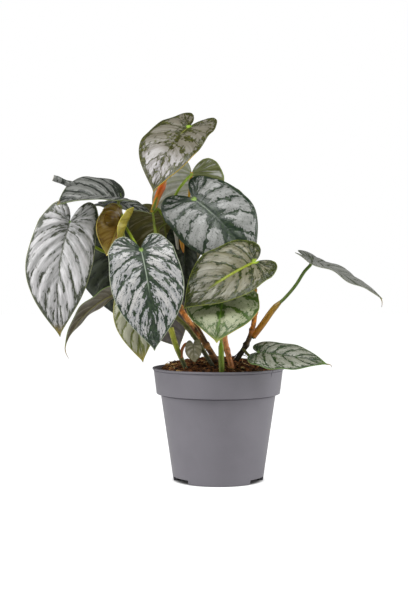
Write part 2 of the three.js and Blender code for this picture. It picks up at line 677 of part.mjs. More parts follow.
export default plant;
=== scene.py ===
"""Visual model of a potted silver leaf philodendron: heart-shaped silver and green blades on
leafy stems that stand in the soil of a round grey nursery pot. Sizes in the tables and in the
dataclasses are in millimetres, angles in degrees, and every object is made in metres."""

import logging
import math
from dataclasses import dataclass, field
from enum import Enum

import bmesh
import bpy
import numpy as np
from mathutils import Matrix, Vector, noise


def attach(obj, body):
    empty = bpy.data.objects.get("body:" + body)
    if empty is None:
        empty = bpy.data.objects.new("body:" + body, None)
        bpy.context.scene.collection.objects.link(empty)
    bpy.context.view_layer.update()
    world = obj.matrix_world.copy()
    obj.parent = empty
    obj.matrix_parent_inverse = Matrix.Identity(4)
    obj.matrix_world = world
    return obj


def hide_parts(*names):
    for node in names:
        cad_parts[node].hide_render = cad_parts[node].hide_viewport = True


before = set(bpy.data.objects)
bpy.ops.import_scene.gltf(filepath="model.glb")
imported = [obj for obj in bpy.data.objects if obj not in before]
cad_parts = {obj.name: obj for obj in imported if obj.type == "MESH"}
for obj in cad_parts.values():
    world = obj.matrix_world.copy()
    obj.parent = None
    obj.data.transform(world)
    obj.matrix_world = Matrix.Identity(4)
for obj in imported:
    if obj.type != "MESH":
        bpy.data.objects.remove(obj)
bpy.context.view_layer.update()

MM = 0.001
LOG = logging.getLogger("philodendron")

Point = tuple[float, float, float]
Source = bpy.types.NodeSocket | float | str

# camera of the photograph, for a picture of 408 by 612 pixels
CAMERA_PLACE: Point = (-13.0, -1080.0, 187.0)
CAMERA_PITCH = 1.5
FOCAL_PIXELS = 1184.0
PICTURE_HEIGHT = 612
SENSOR = 36.0

# outline of half a blade, from the back of its lobe round to the tip: along the midrib in lobe
# lengths behind the stalk and blade lengths ahead of it, and sideways in half widths
MARGIN = np.array([
    [-0.90, 0.27], [-1.0, 0.43], [-0.84, 0.64], [-0.42, 0.80], [0.05, 0.92], [0.22, 0.99],
    [0.38, 1.0], [0.54, 0.90], [0.68, 0.70], [0.80, 0.45], [0.89, 0.235], [0.955, 0.075],
    [1.0, 0.0],
])
MARGIN_SAMPLES = 500
BLADE_ROWS = 104
BLADE_COLUMNS = 24

# rows up to this share start at the stalk, the others along the midrib
FAN_SHARE = 0.22
# how far rows bow by the notch, and where along the fan that changes sides
SINUS_BOW = 0.16
SINUS_TURN = 0.25
# how far the side veins bow, and how soon they do
VEIN_BOW = 0.2
VEIN_BOW_GROWTH = 4
# blade lengths behind the stalk in which the lobes reach their lift
LIFT_REACH = 0.25
# how far the wave of the minus half runs ahead of the plus half's
WAVE_SHIFT = 0.9
# turn that stands for a straight midrib
LEAST_TURN = 1e-6
# number of veins that keeps the noise of the two halves apart
SIDE_PHASE = 40.0

# relief of a blade: widths and heights in millimetres
PUCKER_SPACING = 4.5
GROOVE_WIDTH, GROOVE_DEPTH = 1.1, 0.55
ROLL_HEIGHT = 0.22
RIB_WIDTH, RIB_HEIGHT = 0.8, 0.9
SIDE_VEIN_WIDTH, SIDE_VEIN_HEIGHT = 0.5, 0.25
# dimple of the young blade: its place in blade lengths, its radius, and the height, place and
# width of the lip round it
DIMPLE_ALONG, DIMPLE_OUT, DIMPLE_RADIUS = 0.2, 0.24, 5.4
DIMPLE_LIP, DIMPLE_LIP_PLACE, DIMPLE_LIP_WIDTH = 0.45, 1.35, 0.3


def colour(code: str) -> tuple[float, float, float, float]:
    """Linear colour of a six-digit hexadecimal code.

    Args:
        code: The colour as shown on a screen, such as "7a8b6c".

    Returns:
        Red, green, blue and alpha, as the shaders want them.
    """
    parts = [int(code[i : i + 2], 16) / 255 for i in (0, 2, 4)]
    linear = [p / 12.92 if p <= 0.04045 else ((p + 0.055) / 1.055) ** 2.4 for p in parts]
    return (*linear, 1.0)


def smooth(value: np.ndarray) -> np.ndarray:
    """Smooth step of value, which is held between 0 and 1."""
    held = np.clip(value, 0.0, 1.0)
    return held * held * (3 - 2 * held)


def unit(vector: np.ndarray) -> np.ndarray:
    """Vector of length 1 in the direction of vector."""
    return vector / np.linalg.norm(vector)


def headings(line: np.ndarray) -> np.ndarray:
    """Directions of length 1 in which a line runs at each of its places."""
    steps = np.gradient(line, axis=0)
    return steps / np.linalg.norm(steps, axis=1)[:, None]


def hoops(rings: int, sides: int, first: int = 0, flipped: bool = False) -> list[tuple[int, ...]]:
    """Faces between rings of vertices that follow each other.

    Args:
        rings: How many rings there are.
        sides: How many vertices a ring has.
        first: The number of the first vertex.
        flipped: Whether the faces look the other way.

    Returns:
        The faces, ring by ring.
    """
    faces = []
    for a in range(first, first + (rings - 1) * sides, sides):
        b = a + sides
        for i in range(sides):
            k = (i + 1) % sides
            faces.append((a + i, b + i, b + k, a + k) if flipped else (a + i, a + k, b + k, b + i))
    return faces


def patches(rows: int, columns: int) -> np.ndarray:
    """Faces of a grid of vertices.

    Args:
        rows: How many rows of vertices it has.
        columns: How many vertices a row has.

    Returns:
        The four corners of each face, row by row.
    """
    grid = np.arange(rows * columns).reshape(rows, columns)
    corners = (grid[:-1, :-1], grid[1:, :-1], grid[1:, 1:], grid[:-1, 1:])
    return np.stack(corners, axis=-1).reshape(-1, 4)


def circle(radius: float, count: int) -> list[tuple[float, float]]:
    """Places spread evenly on a circle round the pot's axis."""
    turns = [2 * math.pi * i / count for i in range(count)]
    return [(radius * math.cos(turn), radius * math.sin(turn)) for turn in turns]


def put(name: str, data: bpy.types.ID) -> bpy.types.Object:
    """Puts a mesh, light or camera into the scene.

    Args:
        name: The object's name.
        data: What the object is made of.

    Returns:
        The new object.
    """
    made = bpy.data.objects.new(name, data)
    bpy.context.scene.collection.objects.link(made)
    return made


def link(name: str, mesh: bpy.types.Mesh, *materials: bpy.types.Material) -> bpy.types.Object:
    """Puts a mesh into the scene as an object that rides on the plant's only body.

    Args:
        name: The object's name.
        mesh: Its mesh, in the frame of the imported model.
        materials: The materials of its slots.

    Returns:
        The new object.
    """
    piece = put(name, mesh)
    for material in materials:
        mesh.materials.append(material)
    mesh.polygons.foreach_set("use_smooth", np.ones(len(mesh.polygons), bool))
    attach(piece, "root")
    return piece


def settle(piece: bpy.types.Object) -> None:
    """Applies the modifiers of a piece to its mesh.

    Args:
        piece: The piece, which is left with no modifiers.
    """
    graph = bpy.context.evaluated_depsgraph_get()
    done = bpy.data.meshes.new_from_object(piece.evaluated_get(graph), depsgraph=graph)
    old = piece.data
    piece.modifiers.clear()
    piece.data = done
    bpy.data.meshes.remove(old)
    done.name = piece.name


def thicken(piece: bpy.types.Object, thickness: float, careful: bool) -> None:
    """Makes a shell of a surface, with the piece's second material on its under side.

    Args:
        piece: The piece whose mesh is the surface.
        thickness: The shell's thickness.
        careful: Whether it is kept even where the surface is sharply bent.
    """
    shell = piece.modifiers.new("thickness", "SOLIDIFY")
    shell.thickness = thickness * MM
    shell.offset = 0.0
    shell.material_offset = 1
    shell.use_quality_normals = careful
    settle(piece)


def add_map(mesh: bpy.types.Mesh, name: str, values: np.ndarray) -> None:
    """Adds a map to a mesh.

    Args:
        mesh: The mesh.
        name: The map's name.
        values: Two coordinates for each vertex.
    """
    corners = np.empty(len(mesh.loops), np.int32)
    mesh.loops.foreach_get("vertex_index", corners)
    mesh.uv_layers.new(name=name).data.foreach_set("uv", values[corners].ravel())


class Sheet:
    """Node sheet of one material, with short calls for the nodes that the finishes share."""

    def __init__(self, name: str) -> None:
        """Starts the sheet of a material.

        Args:
            name: The material's name.
        """
        self.material = bpy.data.materials.new(name)
        self.material.use_nodes = True
        self.nodes = self.material.node_tree.nodes
        self.links = self.material.node_tree.links
        self.shader = self.nodes["Principled BSDF"]

    def feed(self, socket: bpy.types.NodeSocket, source: Source) -> None:
        """Links source to a socket, or stores it there as a value.

        Args:
            socket: The socket.
            source: The output of a node, a number or the code of a colour.
        """
        if isinstance(source, bpy.types.NodeSocket):
            self.links.new(source, socket)
        else:
            socket.default_value = colour(source) if isinstance(source, str) else source

    def node(self, kind: str, sources: dict[int | str, Source], **options: str) -> bpy.types.Node:
        """Adds a node.

        Args:
            kind: The node's type, without the words that all shader nodes start with.
            sources: What feeds its sockets, by number or name.
            options: Its settings by name.

        Returns:
            The new node.
        """
        node = self.nodes.new(f"ShaderNode{kind}")
        for name, option in options.items():
            setattr(node, name, option)
        for key, source in sources.items():
            self.feed(node.inputs[key], source)
        return node

    def calc(self, operation: str, a: Source, b: Source = 0.0, c: Source = 0.0) -> Source:
        """Result of one step of arithmetic.

        Args:
            operation: The name of the step, as the Math node has it.
            a: The first number.
            b: The second number.
            c: The third number.

        Returns:
            The node's output.
        """
        return self.node("Math", {0: a, 1: b, 2: c}, operation=operation).outputs[0]

    def times(self, a: Source, b: Source) -> Source:
        """Product of two numbers."""
        return self.calc("MULTIPLY", a, b)

    def minus(self, a: Source, b: Source) -> Source:
        """Difference of two numbers."""
        return self.calc("SUBTRACT", a, b)

    def scaled(self, a: Source, factor: Source, more: Source) -> Source:
        """Product of a number and a factor, with more added to it."""
        return self.calc("MULTIPLY_ADD", a, factor, more)

    def step(self, value: Source, low: Source, high: Source,
             start: float = 0.0, end: float = 1.0) -> Source:
        """Smooth step of value from low to high.

        Args:
            value: The number that is looked at.
            low: Where the step starts.
            high: Where it ends.
            start: The result up to low.
            end: The result from high on.

        Returns:
            The node's output.
        """
        sources = {0: value, 1: low, 2: high, 3: start, 4: end}
        return self.node("MapRange", sources, interpolation_type="SMOOTHSTEP").outputs[0]

    def mix(self, share: Source, first: Source, second: Source) -> Source:
        """Mix of two colours.

        Args:
            share: How much of the second shows.
            first: The first colour.
            second: The second colour.

        Returns:
            The mixed colour.
        """
        return self.node("Mix", {0: share, 6: first, 7: second}, data_type="RGBA").outputs[2]

    def noise(self, vector: Source, scale: float = 1.0, detail: float = 2.0,
              roughness: float = 0.5) -> Source:
        """Soft noise between 0 and 1.

        Args:
            vector: Where it is read.
            scale: How many of its features fit in one unit.
            detail: How many finer layers it has.
            roughness: How strong the finer layers are.

        Returns:
            The noise.
        """
        sources = {"Vector": vector, "Scale": scale, "Detail": detail, "Roughness": roughness}
        return self.node("TexNoise", sources).outputs["Fac"]

    def map(self, name: str) -> tuple[Source, Source]:
        """Reads a map of the mesh.

        Args:
            name: The map's name.

        Returns:
            Its two coordinates.
        """
        split = self.node("SeparateXYZ", {0: self.node("UVMap", {}, uv_map=name).outputs[0]})
        return split.outputs[0], split.outputs[1]

    def place(self) -> Source:
        """Place in the object's own frame, in metres."""
        return self.node("TexCoord", {}).outputs["Object"]

    def tint(self, name: str, output: str = "Color") -> Source:
        """Colour that a mesh's vertices carry under a name, or its alpha."""
        return self.node("Attribute", {}, attribute_name=name).outputs[output]

    def join(self, x: Source, y: Source, z: Source) -> Source:
        """Vector of three numbers."""
        return self.node("CombineXYZ", {0: x, 1: y, 2: z}).outputs[0]

    def bump(self, height: Source, depth: float, strength: float) -> None:
        """Gives the shader a relief.

        Args:
            height: The heights, from 0 to about 1.
            depth: How high 1 is, in millimetres.
            strength: How strongly it shows.
        """
        sources = {"Strength": strength, "Distance": depth * MM, "Height": height}
        self.feed(self.shader.inputs["Normal"], self.node("Bump", sources).outputs[0])

    def skin(self, base: Source, roughness: Source, specular: float) -> bpy.types.Material:
        """Finishes the sheet.

        Args:
            base: The surface's colour.
            roughness: Its roughness.
            specular: Its specular level, the same all over.

        Returns:
            The material.
        """
        self.feed(self.shader.inputs["Base Color"], base)
        self.feed(self.shader.inputs["Roughness"], roughness)
        self.shader.inputs["Specular IOR Level"].default_value = specular
        return self.material


class Layer(Enum):
    """Noises of a blade, by the number that keeps each apart from the others."""

    STRAY = 0
    FRINGE = 1
    TEAR = 2
    GRAIN = 3
    BLOTCH = 4
    SPECK = 5
    CLOUD = 6
    FLECK = 7
    INK = 8
    GRIT = 9


@dataclass(frozen=True)
class VeinSheet:
    """Node sheet of one side of a blade, with what it reads from the blade's maps: the vein that
    a spot lies by and distances in centimetres to the nearest vein, half way between two veins,
    the midrib, the margin and the stalk's joint. length is the blade's, in centimetres too."""

    sheet: Sheet
    seed: float
    length: float
    phase: Source
    out: Source
    along: Source
    across: Source
    rib: Source
    vein: Source
    between: Source
    edge: Source
    joint: Source

    @classmethod
    def read(cls, name: str, seed: float, length: float, wobble: float) -> "VeinSheet":
        """Starts a material and reads the maps of its blade.

        Args:
            name: The material's name.
            seed: The number that sets this blade's noise apart.
            length: The blade's length from the stalk to the tip, in millimetres.
            wobble: How far the veins stray, in vein spacings.

        Returns:
            The sheet.
        """
        sheet = Sheet(name)
        phase, out = sheet.map("Veins")
        along, across = sheet.map("Flat")
        spacing, edge = sheet.map("Edge")
        stray = sheet.noise(sheet.join(along, across, seed + Layer.STRAY.value), 1.3)
        moved = sheet.scaled(sheet.minus(stray, 0.5), wobble, phase)
        cycle = sheet.minus(sheet.calc("FRACT", sheet.calc("ADD", moved, 0.5)), 0.5)
        vein = sheet.times(sheet.times(sheet.calc("ABSOLUTE", cycle), 2.0), spacing)
        squares = sheet.scaled(along, along, sheet.times(across, across))
        return cls(sheet, seed, length / 10, phase, out, along, across,
                   rib=sheet.calc("ABSOLUTE", across), vein=vein,
                   between=sheet.minus(spacing, vein), edge=edge,
                   joint=sheet.calc("SQRT", squares))

    def noise(self, layer: Layer, scale: float | tuple[float, float], detail: float = 2.0,
              roughness: float = 0.5) -> Source:
        """Noise over the blade.

        Args:
            layer: Which of the blade's noises it is.
            scale: How many features fit in a centimetre or, for noise that is drawn out along
                the veins, between two veins and from the midrib to the margin.
            detail: How many finer layers it has.
            roughness: How strong the finer layers are.

        Returns:
            The noise.
        """
        sheet, seed = self.sheet, self.seed + layer.value
        if not isinstance(scale, tuple):
            return sheet.noise(sheet.join(self.along, self.across, seed), scale, detail, roughness)
        spot = sheet.join(sheet.times(self.phase, scale[0]), sheet.times(self.out, scale[1]), seed)
        return sheet.noise(spot, 1.0, detail, roughness)

    def stir(self, value: Source, moved_by: Source, reach: float) -> Source:
        """A distance in centimetres, moved by noise up to about reach millimetres either way."""
        return self.sheet.scaled(self.sheet.minus(moved_by, 0.5), 0.4 * reach, value)


@dataclass(frozen=True)
class BladeFinish:
    """Upper side of a blade: silver patches that fray into green along the veins, the midrib and
    the margin. Bands, widths, fray and fleck are in millimetres; blotches and specks are shares
    of the silver that stay green. slim and slender say how many tears fit between two veins and
    along one, pleats how deep the fine folds along the veins are, and line how thick the thin dark
    lines on the veins are. far is the paler silver towards the tip, a painted highlight, other_rim
    the rim of the plus side, and shine how deep inside a patch its silver is brightest. shade is
    the darker silver of the streaks, which follow the fine folds: partly the leaf's own streaks,
    partly painted shade in the valleys of the folds."""

    silver: str
    shade: str
    green: str
    deep: str
    rib: str
    rim: str
    joint: str
    far: str = ""
    rib_width: float = 0.45
    rib_reach: float = 0.45
    other_rim: str = ""
    joint_size: float = 2.6
    tip: str = "6f7a3a"
    tip_reach: float = 0.95
    band: float = 2.6
    band_taper: float = 0.75
    band_fringe: float = 0.8
    line: float = 0.0
    vein_band: float = 0.3
    vein_taper: float = 0.45
    between_band: float = -2.0
    margin_band: float = 1.2
    fray: float = 4.2
    fleck: float = 2.0
    blotches: float = 0.1
    specks: float = 0.6
    streaks: float = 0.6
    pleats: float = 1.0
    slim: float = 3.0
    slender: float = 3.2
    shine: float = 3.0
    gloss: float = 0.3
    grit: float = 0.16
    coat: float = 0.25
    coat_gloss: float = 0.24
    wobble: float = 0.45
    relief: float = 0.45
    relief_strength: float = 0.9

    def dress(self, name: str, seed: float, length: float) -> bpy.types.Material:
        """Makes the material of one blade.

        Args:
            name: The material's name.
            seed: The number that sets this blade's noise apart.
            length: The blade's length from the stalk to the tip.

        Returns:
            The material.
        """
        see = VeinSheet.read(name, seed, length, self.wobble)
        sheet = see.sheet
        depth = self.depth(see)
        cover = self.cover(see, depth)
        # one grain sets both the fine fold bump and the silver's tone: the leaf's own streaks, with
        # painted shade in the fold valleys and painted highlight on the ridges
        grain = see.noise(Layer.GRAIN, (5.0, 1.4), 3.0, 0.6)
        streak = sheet.step(grain, 0.5 - 0.2 * self.streaks, 0.5 + 0.2 * self.streaks)
        heart = sheet.step(depth, 0.0, self.shine / 10)
        light = sheet.scaled(streak, 0.55, sheet.times(heart, 0.45))
        # painted highlight: the silver pales into the far colour towards the tip
        far = sheet.step(see.along, see.length * 0.3, see.length * 0.75)
        silver = sheet.mix(far, self.silver, self.far or self.silver)
        silver = sheet.mix(light, self.shade, silver)
        cloud = sheet.step(see.noise(Layer.CLOUD, 3.2, 3.0), 0.42, 0.66)
        green = sheet.mix(cloud, self.deep, self.green)
        skin = self.lines(see, sheet.mix(cover, green, silver))
        grit = see.noise(Layer.GRIT, 22.0)
        tone = sheet.scaled(grain, 1.5 * self.pleats, sheet.times(grit, 0.4))
        sheet.bump(sheet.scaled(cover, 0.5, tone), self.relief, self.relief_strength)
        sheet.shader.inputs["Coat Weight"].default_value = self.coat
        sheet.shader.inputs["Coat Roughness"].default_value = self.coat_gloss
        return sheet.skin(skin, sheet.scaled(grit, self.grit, self.gloss - self.grit / 2), 0.5)

    def depth(self, see: VeinSheet) -> Source:
        """How deep inside the silver each spot lies, in centimetres.

        Args:
            see: The blade's sheet.

        Returns:
            The distance, which is below 0 on green.
        """
        sheet = see.sheet
        to_go = sheet.step(see.along, 0.0, see.length, 1.0, 0.0)
        wide = sheet.scaled(to_go, self.band * self.band_taper / 10,
                            self.band * (1 - self.band_taper) / 10)
        fringe = see.noise(Layer.FRINGE, (1.7, 0.9), 2.0, 0.6)
        off_rib = see.stir(sheet.minus(see.rib, wide), fringe, self.band_fringe)
        narrow = sheet.scaled(see.out, -self.vein_band * self.vein_taper / 10, self.vein_band / 10)
        off_vein = sheet.minus(see.vein, narrow)
        off_between = sheet.minus(see.between, self.between_band / 10)
        off_edge = sheet.minus(see.edge, self.margin_band / 10)
        torn = see.noise(Layer.TEAR, (self.slim, self.slender), 2.0, 0.6)
        fine = see.noise(Layer.FLECK, (self.slim * 2.6, self.slender * 2.8), 3.0, 0.65)
        least = sheet.calc("MINIMUM", off_vein, sheet.calc("MINIMUM", off_edge, off_between))
        least = see.stir(least, torn, self.fray)
        off_rib = see.stir(off_rib, torn, self.fray * 0.4)
        return see.stir(sheet.calc("MINIMUM", least, off_rib), fine, self.fleck)

    def cover(self, see: VeinSheet, depth: Source) -> Source:
        """Share of silver at each spot.

        Args:
            see: The blade's sheet.
            depth: How deep inside the silver each spot lies.

        Returns:
            0 for green and 1 for silver.
        """
        sheet = see.sheet
        cover = sheet.step(depth, -0.03, 0.05)
        if self.line:
            ink = see.noise(Layer.INK, (0.9, 3.0))
            wide = sheet.scaled(ink, 0.4 * self.line, -0.1 * self.line)
            cover = sheet.times(cover, sheet.step(sheet.minus(see.vein, wide), -0.01, 0.03))
        blotch = see.noise(Layer.BLOTCH, (1.1, 1.6), 3.0, 0.62)
        edge = 0.72 - 0.3 * self.blotches
        cover = sheet.times(cover, sheet.step(blotch, edge, edge + 0.05, 1.0, 0.0))
        speck = see.noise(Layer.SPECK, 9.0, 2.0, 0.6)
        edge = 0.74 - 0.22 * self.specks
        return sheet.times(cover, sheet.step(speck, edge, edge + 0.06, 1.0, 0.1))

    def lines(self, see: VeinSheet, skin: Source) -> Source:
        """Adds the pale midrib, the stalk's joint, the tip and the rim to a blade's colour.

        Args:
            see: The blade's sheet.
            skin: The colour so far.

        Returns:
            The colour with them.
        """
        sheet = see.sheet
        reach = self.rib_reach * see.length
        thin = self.rib_width / 10
        rib = sheet.step(see.rib, thin * 0.6, thin * 1.4, 1.0, 0.0)
        rib = sheet.times(rib, sheet.step(see.along, reach * 0.6, reach, 1.0, 0.0))
        rib = sheet.times(rib, sheet.step(see.along, -0.15, 0.0))
        skin = sheet.mix(rib, skin, self.rib)
        size = self.joint_size / 10
        joint = sheet.step(see.joint, size * 0.35, size, 1.0, 0.0)
        skin = sheet.mix(joint, skin, self.joint)
        tip = sheet.step(see.along, self.tip_reach * see.length, see.length)
        skin = sheet.mix(tip, skin, self.tip)
        side = sheet.times(sheet.step(see.across, -0.3, 0.3),
                           sheet.step(see.along, see.length * 0.35, see.length * 0.5))
        rim = sheet.mix(side, self.rim, self.other_rim or self.rim)
        return sheet.mix(sheet.step(see.edge, 0.02, 0.07, 1.0, 0.0), skin, rim)


@dataclass(frozen=True)
class UnderFinish:
    """Under side of a blade: a dull skin with paler streaks between raised veins. other_base is
    the skin of the plus side, dark the tone of its clouds, and share how much of it is streaked."""

    base: str
    streak: str
    vein: str
    rib: str
    rim: str
    other_base: str = ""
    dark: str = "20240f"
    rib_width: float = 1.1
    share: float = 0.5
    gloss: float = 0.5
    grit: float = 0.14
    wobble: float = 0.15

    def dress(self, name: str, seed: float, length: float) -> bpy.types.Material:
        """Makes the material of one blade's under side.

        Args:
            name: The material's name.
            seed: The number that sets this blade's noise apart.
            length: The blade's length from the stalk to the tip.

        Returns:
            The material.
        """
        see = VeinSheet.read(name, seed, length, self.wobble)
        sheet = see.sheet
        grain = see.noise(Layer.GRAIN, (3.0, 1.2), 3.0, 0.6)
        edge = 0.66 - 0.3 * self.share
        patch = sheet.times(sheet.step(grain, edge, edge + 0.16), sheet.step(see.vein, 0.05, 0.16))
        patch = sheet.times(patch, sheet.step(see.edge, 0.05, 0.3))
        side = sheet.step(see.across, -0.2, 0.2)
        skin = sheet.mix(side, self.base, self.other_base or self.base)
        skin = sheet.mix(patch, skin, self.streak)
        cloud = sheet.step(see.noise(Layer.CLOUD, 2.0, 3.0), 0.3, 0.8, 0.0, 0.3)
        skin = sheet.mix(cloud, skin, self.dark)
        skin = sheet.mix(sheet.step(see.vein, 0.02, 0.06, 0.7, 0.0), skin, self.vein)
        thin = self.rib_width / 10
        to_go = sheet.step(see.along, 0.0, see.length, 1.0, 0.25)
        rib = sheet.step(sheet.calc("DIVIDE", see.rib, to_go), thin * 0.5, thin, 1.0, 0.0)
        rib = sheet.times(rib, sheet.step(see.along, -0.1, 0.0))
        skin = sheet.mix(rib, skin, self.rib)
        skin = sheet.mix(sheet.step(see.edge, 0.02, 0.08, 1.0, 0.0), skin, self.rim)
        grit = see.noise(Layer.GRIT, 24.0)
        sheet.bump(sheet.scaled(grain, 0.8, grit), 0.15, 0.6)
        return sheet.skin(skin, sheet.scaled(grit, self.grit, self.gloss - self.grit / 2), 0.4)


class Side(Enum):
    """Halves of a blade, by the sign of its sideways axis."""

    PLUS = 1
    MINUS = -1


def margin_points(row: np.ndarray) -> np.ndarray:
    """Smooth outline of half a blade.

    Args:
        row: Places along the outline, from 0 at the back of the lobe to 1 at the tip.

    Returns:
        The points, in the units of the outline's table.
    """
    last = len(MARGIN) - 1
    k = np.minimum(np.floor(row * last).astype(int), last - 1)
    f = (row * last - k)[..., None]
    padded = np.vstack([2 * MARGIN[0] - MARGIN[1], MARGIN, 2 * MARGIN[-1] - MARGIN[-2]])
    before, p, q, after = (padded[k + i] for i in range(4))
    bend = 2 * before - 5 * p + 4 * q - after
    twist = 3 * p + after - before - 3 * q
    return 0.5 * (2 * p + (q - before) * f + bend * f**2 + twist * f**3)


@dataclass
class Blade:
    """One heart-shaped leaf blade, bent over its midrib. at is where its stalk meets it, tip
    its point, and face the way its upper side looks. lobe is how far its lobes reach back, in
    blade lengths. arch, lift, fold and cup are how far the midrib bends down, the lobes rise, the
    halves fold up at the midrib and each half bends on to its margin."""

    name: str
    at: Point
    tip: Point
    face: Point
    width: float
    lobe: float
    arch: float
    fold: float
    cup: float
    upper: BladeFinish | UnderFinish
    under: UnderFinish
    lift: float = 0.0
    wave: float = 1.0
    waves: float = 2.5
    phase: float = 0.0
    bow: float = 0.0
    width_plus: float = 1.0
    width_minus: float = 1.0
    fold_minus: float = 1.0
    quilt: float = 1.1
    crowding: float = 1.9
    dimple: float = 0.0
    fan_veins: int = 3
    rib_veins: int = 7
    seed: float = 0.0
    thickness: float = 0.5
    trim: float = 0.995
    origin: np.ndarray = field(init=False)
    axes: np.ndarray = field(init=False)
    length: float = field(init=False)

    def __post_init__(self) -> None:
        """Works out the blade's own axes and its length along the midrib."""
        self.origin = np.array(self.at, float)
        chord = np.array(self.tip, float) - self.origin
        reach = float(np.linalg.norm(chord))
        along = chord / reach
        normal = np.array(self.face, float)
        normal = unit(normal - along * normal.dot(along))
        half_arch = math.radians(self.arch) / 2
        self.length = reach * half_arch / math.sin(half_arch)
        x = along * math.cos(half_arch) + normal * math.sin(half_arch)
        z = normal * math.cos(half_arch) - along * math.sin(half_arch)
        self.axes = np.array([x, np.cross(z, x), z])

    def flat(self, row: np.ndarray, column: np.ndarray,
             side: Side) -> tuple[np.ndarray, np.ndarray]:
        """Places on the flat half blade.

        Args:
            row: From 0 at the notch round to 1 at the tip.
            column: From 0 at the midrib to 1 at the margin.
            side: The half that they lie on.

        Returns:
            The distances along the midrib and out from it.
        """
        share = self.width_plus if side is Side.PLUS else self.width_minus
        margin = margin_points(row)
        scale = np.where(margin[..., 0] < 0, self.lobe * self.length, self.length)
        end_x = margin[..., 0] * scale * self.trim
        end_y = margin[..., 1] * self.width / 2 * share * self.trim
        fan = np.minimum(row / FAN_SHARE, 1.0)
        rib = np.clip((row - FAN_SHARE) / (1 - FAN_SHARE), 0.0, 1.0)
        start = self.length * self.trim * rib**self.crowding
        notch_bow = np.where(fan < SINUS_TURN, 1 - 2 * fan / SINUS_TURN,
                             (fan - SINUS_TURN) / (1 - SINUS_TURN) - 1) * SINUS_BOW
        bow = np.where(row <= FAN_SHARE, notch_bow, VEIN_BOW * smooth(rib * VEIN_BOW_GROWTH))
        span = end_x - start
        rest = 1 - column
        turn_x, turn_y = start + span / 2 - end_y * bow, end_y / 2 + span * bow
        x = rest**2 * start + 2 * column * rest * turn_x + column**2 * end_x
        return x, 2 * column * rest * turn_y + column**2 * end_y

    def bend(self, x: np.ndarray, y: np.ndarray, side: Side) -> np.ndarray:
        """Bends flat places over the midrib's arch, the fold and the cup.

        Args:
            x: Distances along the midrib.
            y: Distances out from it.
            side: The half that they lie on.

        Returns:
            The places in the plant's frame, in millimetres.
        """
        half = self.width / 2
        t = x / self.length
        ahead = t > 0
        sway = 4 * self.bow * np.where(ahead, t * (1 - t), t)
        turn = np.where(ahead, math.radians(self.arch), math.radians(self.lift) / LIFT_REACH)
        turn = np.where(np.abs(turn) > LEAST_TURN, turn, LEAST_TURN)
        rib_x = np.sin(turn * t) / turn * self.length
        rib_z = (1 - np.cos(turn * t)) / turn * self.length * np.where(ahead, -1, 1)
        pitch = np.where(ahead, -turn * t, turn * t)
        share, shift = 1.0, self.phase
        if side is Side.MINUS:
            share, shift = self.fold_minus, self.phase + WAVE_SHIFT
        fold = math.radians(self.fold) * share
        curl = math.radians(self.cup) * share / half
        lateral = (np.sin(fold + curl * y) - math.sin(fold)) / curl
        rise = (math.cos(fold) - np.cos(fold + curl * y)) / curl
        rise = rise + self.wave * np.sin(2 * math.pi * self.waves * t + shift) * (y / half) ** 2
        local = np.stack([rib_x - rise * np.sin(pitch), side.value * lateral + sway,
                          rib_z + rise * np.cos(pitch)], axis=-1)
        return self.origin + local @ self.axes

    def veins(self, row: np.ndarray) -> np.ndarray:
        """Count of side veins from the notch to each row.

        Args:
            row: From 0 at the notch round to 1 at the tip.

        Returns:
            The counts, which are whole numbers on a vein.
        """
        rib = np.clip((row - FAN_SHARE) / (1 - FAN_SHARE), 0.0, 1.0)
        fan = np.clip(row / FAN_SHARE, 0.0, 1.0)
        return fan * self.fan_veins + rib * self.rib_veins

    def half(self, side: Side) -> dict[str, np.ndarray]:
        """Grid of one half: its places, maps and relief.

        Args:
            side: The half.

        Returns:
            Arrays by name, with one entry for each vertex of the grid.
        """
        rows = np.linspace(0, 1, BLADE_ROWS + 1)
        row, column = np.meshgrid(rows, np.linspace(0, 1, BLADE_COLUMNS + 1), indexing="ij")
        x, y = self.flat(row, column, side)
        phase = self.veins(row)
        outline = self.flat(np.linspace(0, 1, MARGIN_SAMPLES), np.ones(MARGIN_SAMPLES), side)
        edge = np.hypot(x[..., None] - outline[0], y[..., None] - outline[1]).min(axis=-1)
        edge[:, -1] = 0.0
        per_vein = np.gradient(phase, axis=0)
        step_x, step_y = np.gradient(x, axis=0) / per_vein, np.gradient(y, axis=0) / per_vein
        out_x, out_y = np.gradient(x, axis=1), np.gradient(y, axis=1)
        length = np.maximum(np.hypot(out_x, out_y), 1e-9)
        spacing = np.abs(step_x * out_y - step_y * out_x) / length / 2
        relief, ridge = self.relief(x, y, column, phase, spacing, edge)
        if side is Side.MINUS:
            off = np.hypot(x - DIMPLE_ALONG * self.length, y - DIMPLE_OUT * self.length)
            off = off / DIMPLE_RADIUS
            lip = np.exp(-(((off - DIMPLE_LIP_PLACE) / DIMPLE_LIP_WIDTH) ** 2))
            relief = relief - self.dimple * (np.exp(-(off**4)) - DIMPLE_LIP * lip)
        shift = 0.0 if side is Side.PLUS else SIDE_PHASE
        return {
            "place": self.bend(x, y, side).reshape(-1, 3) * MM,
            "Veins": np.stack([phase + shift, column], axis=-1).reshape(-1, 2),
            "Flat": np.stack([x, side.value * y], axis=-1).reshape(-1, 2) / 10,
            "Edge": np.stack([spacing, edge], axis=-1).reshape(-1, 2) / 10,
            "relief": relief.ravel() * MM,
            "ridge": ridge.ravel() * MM,
        }

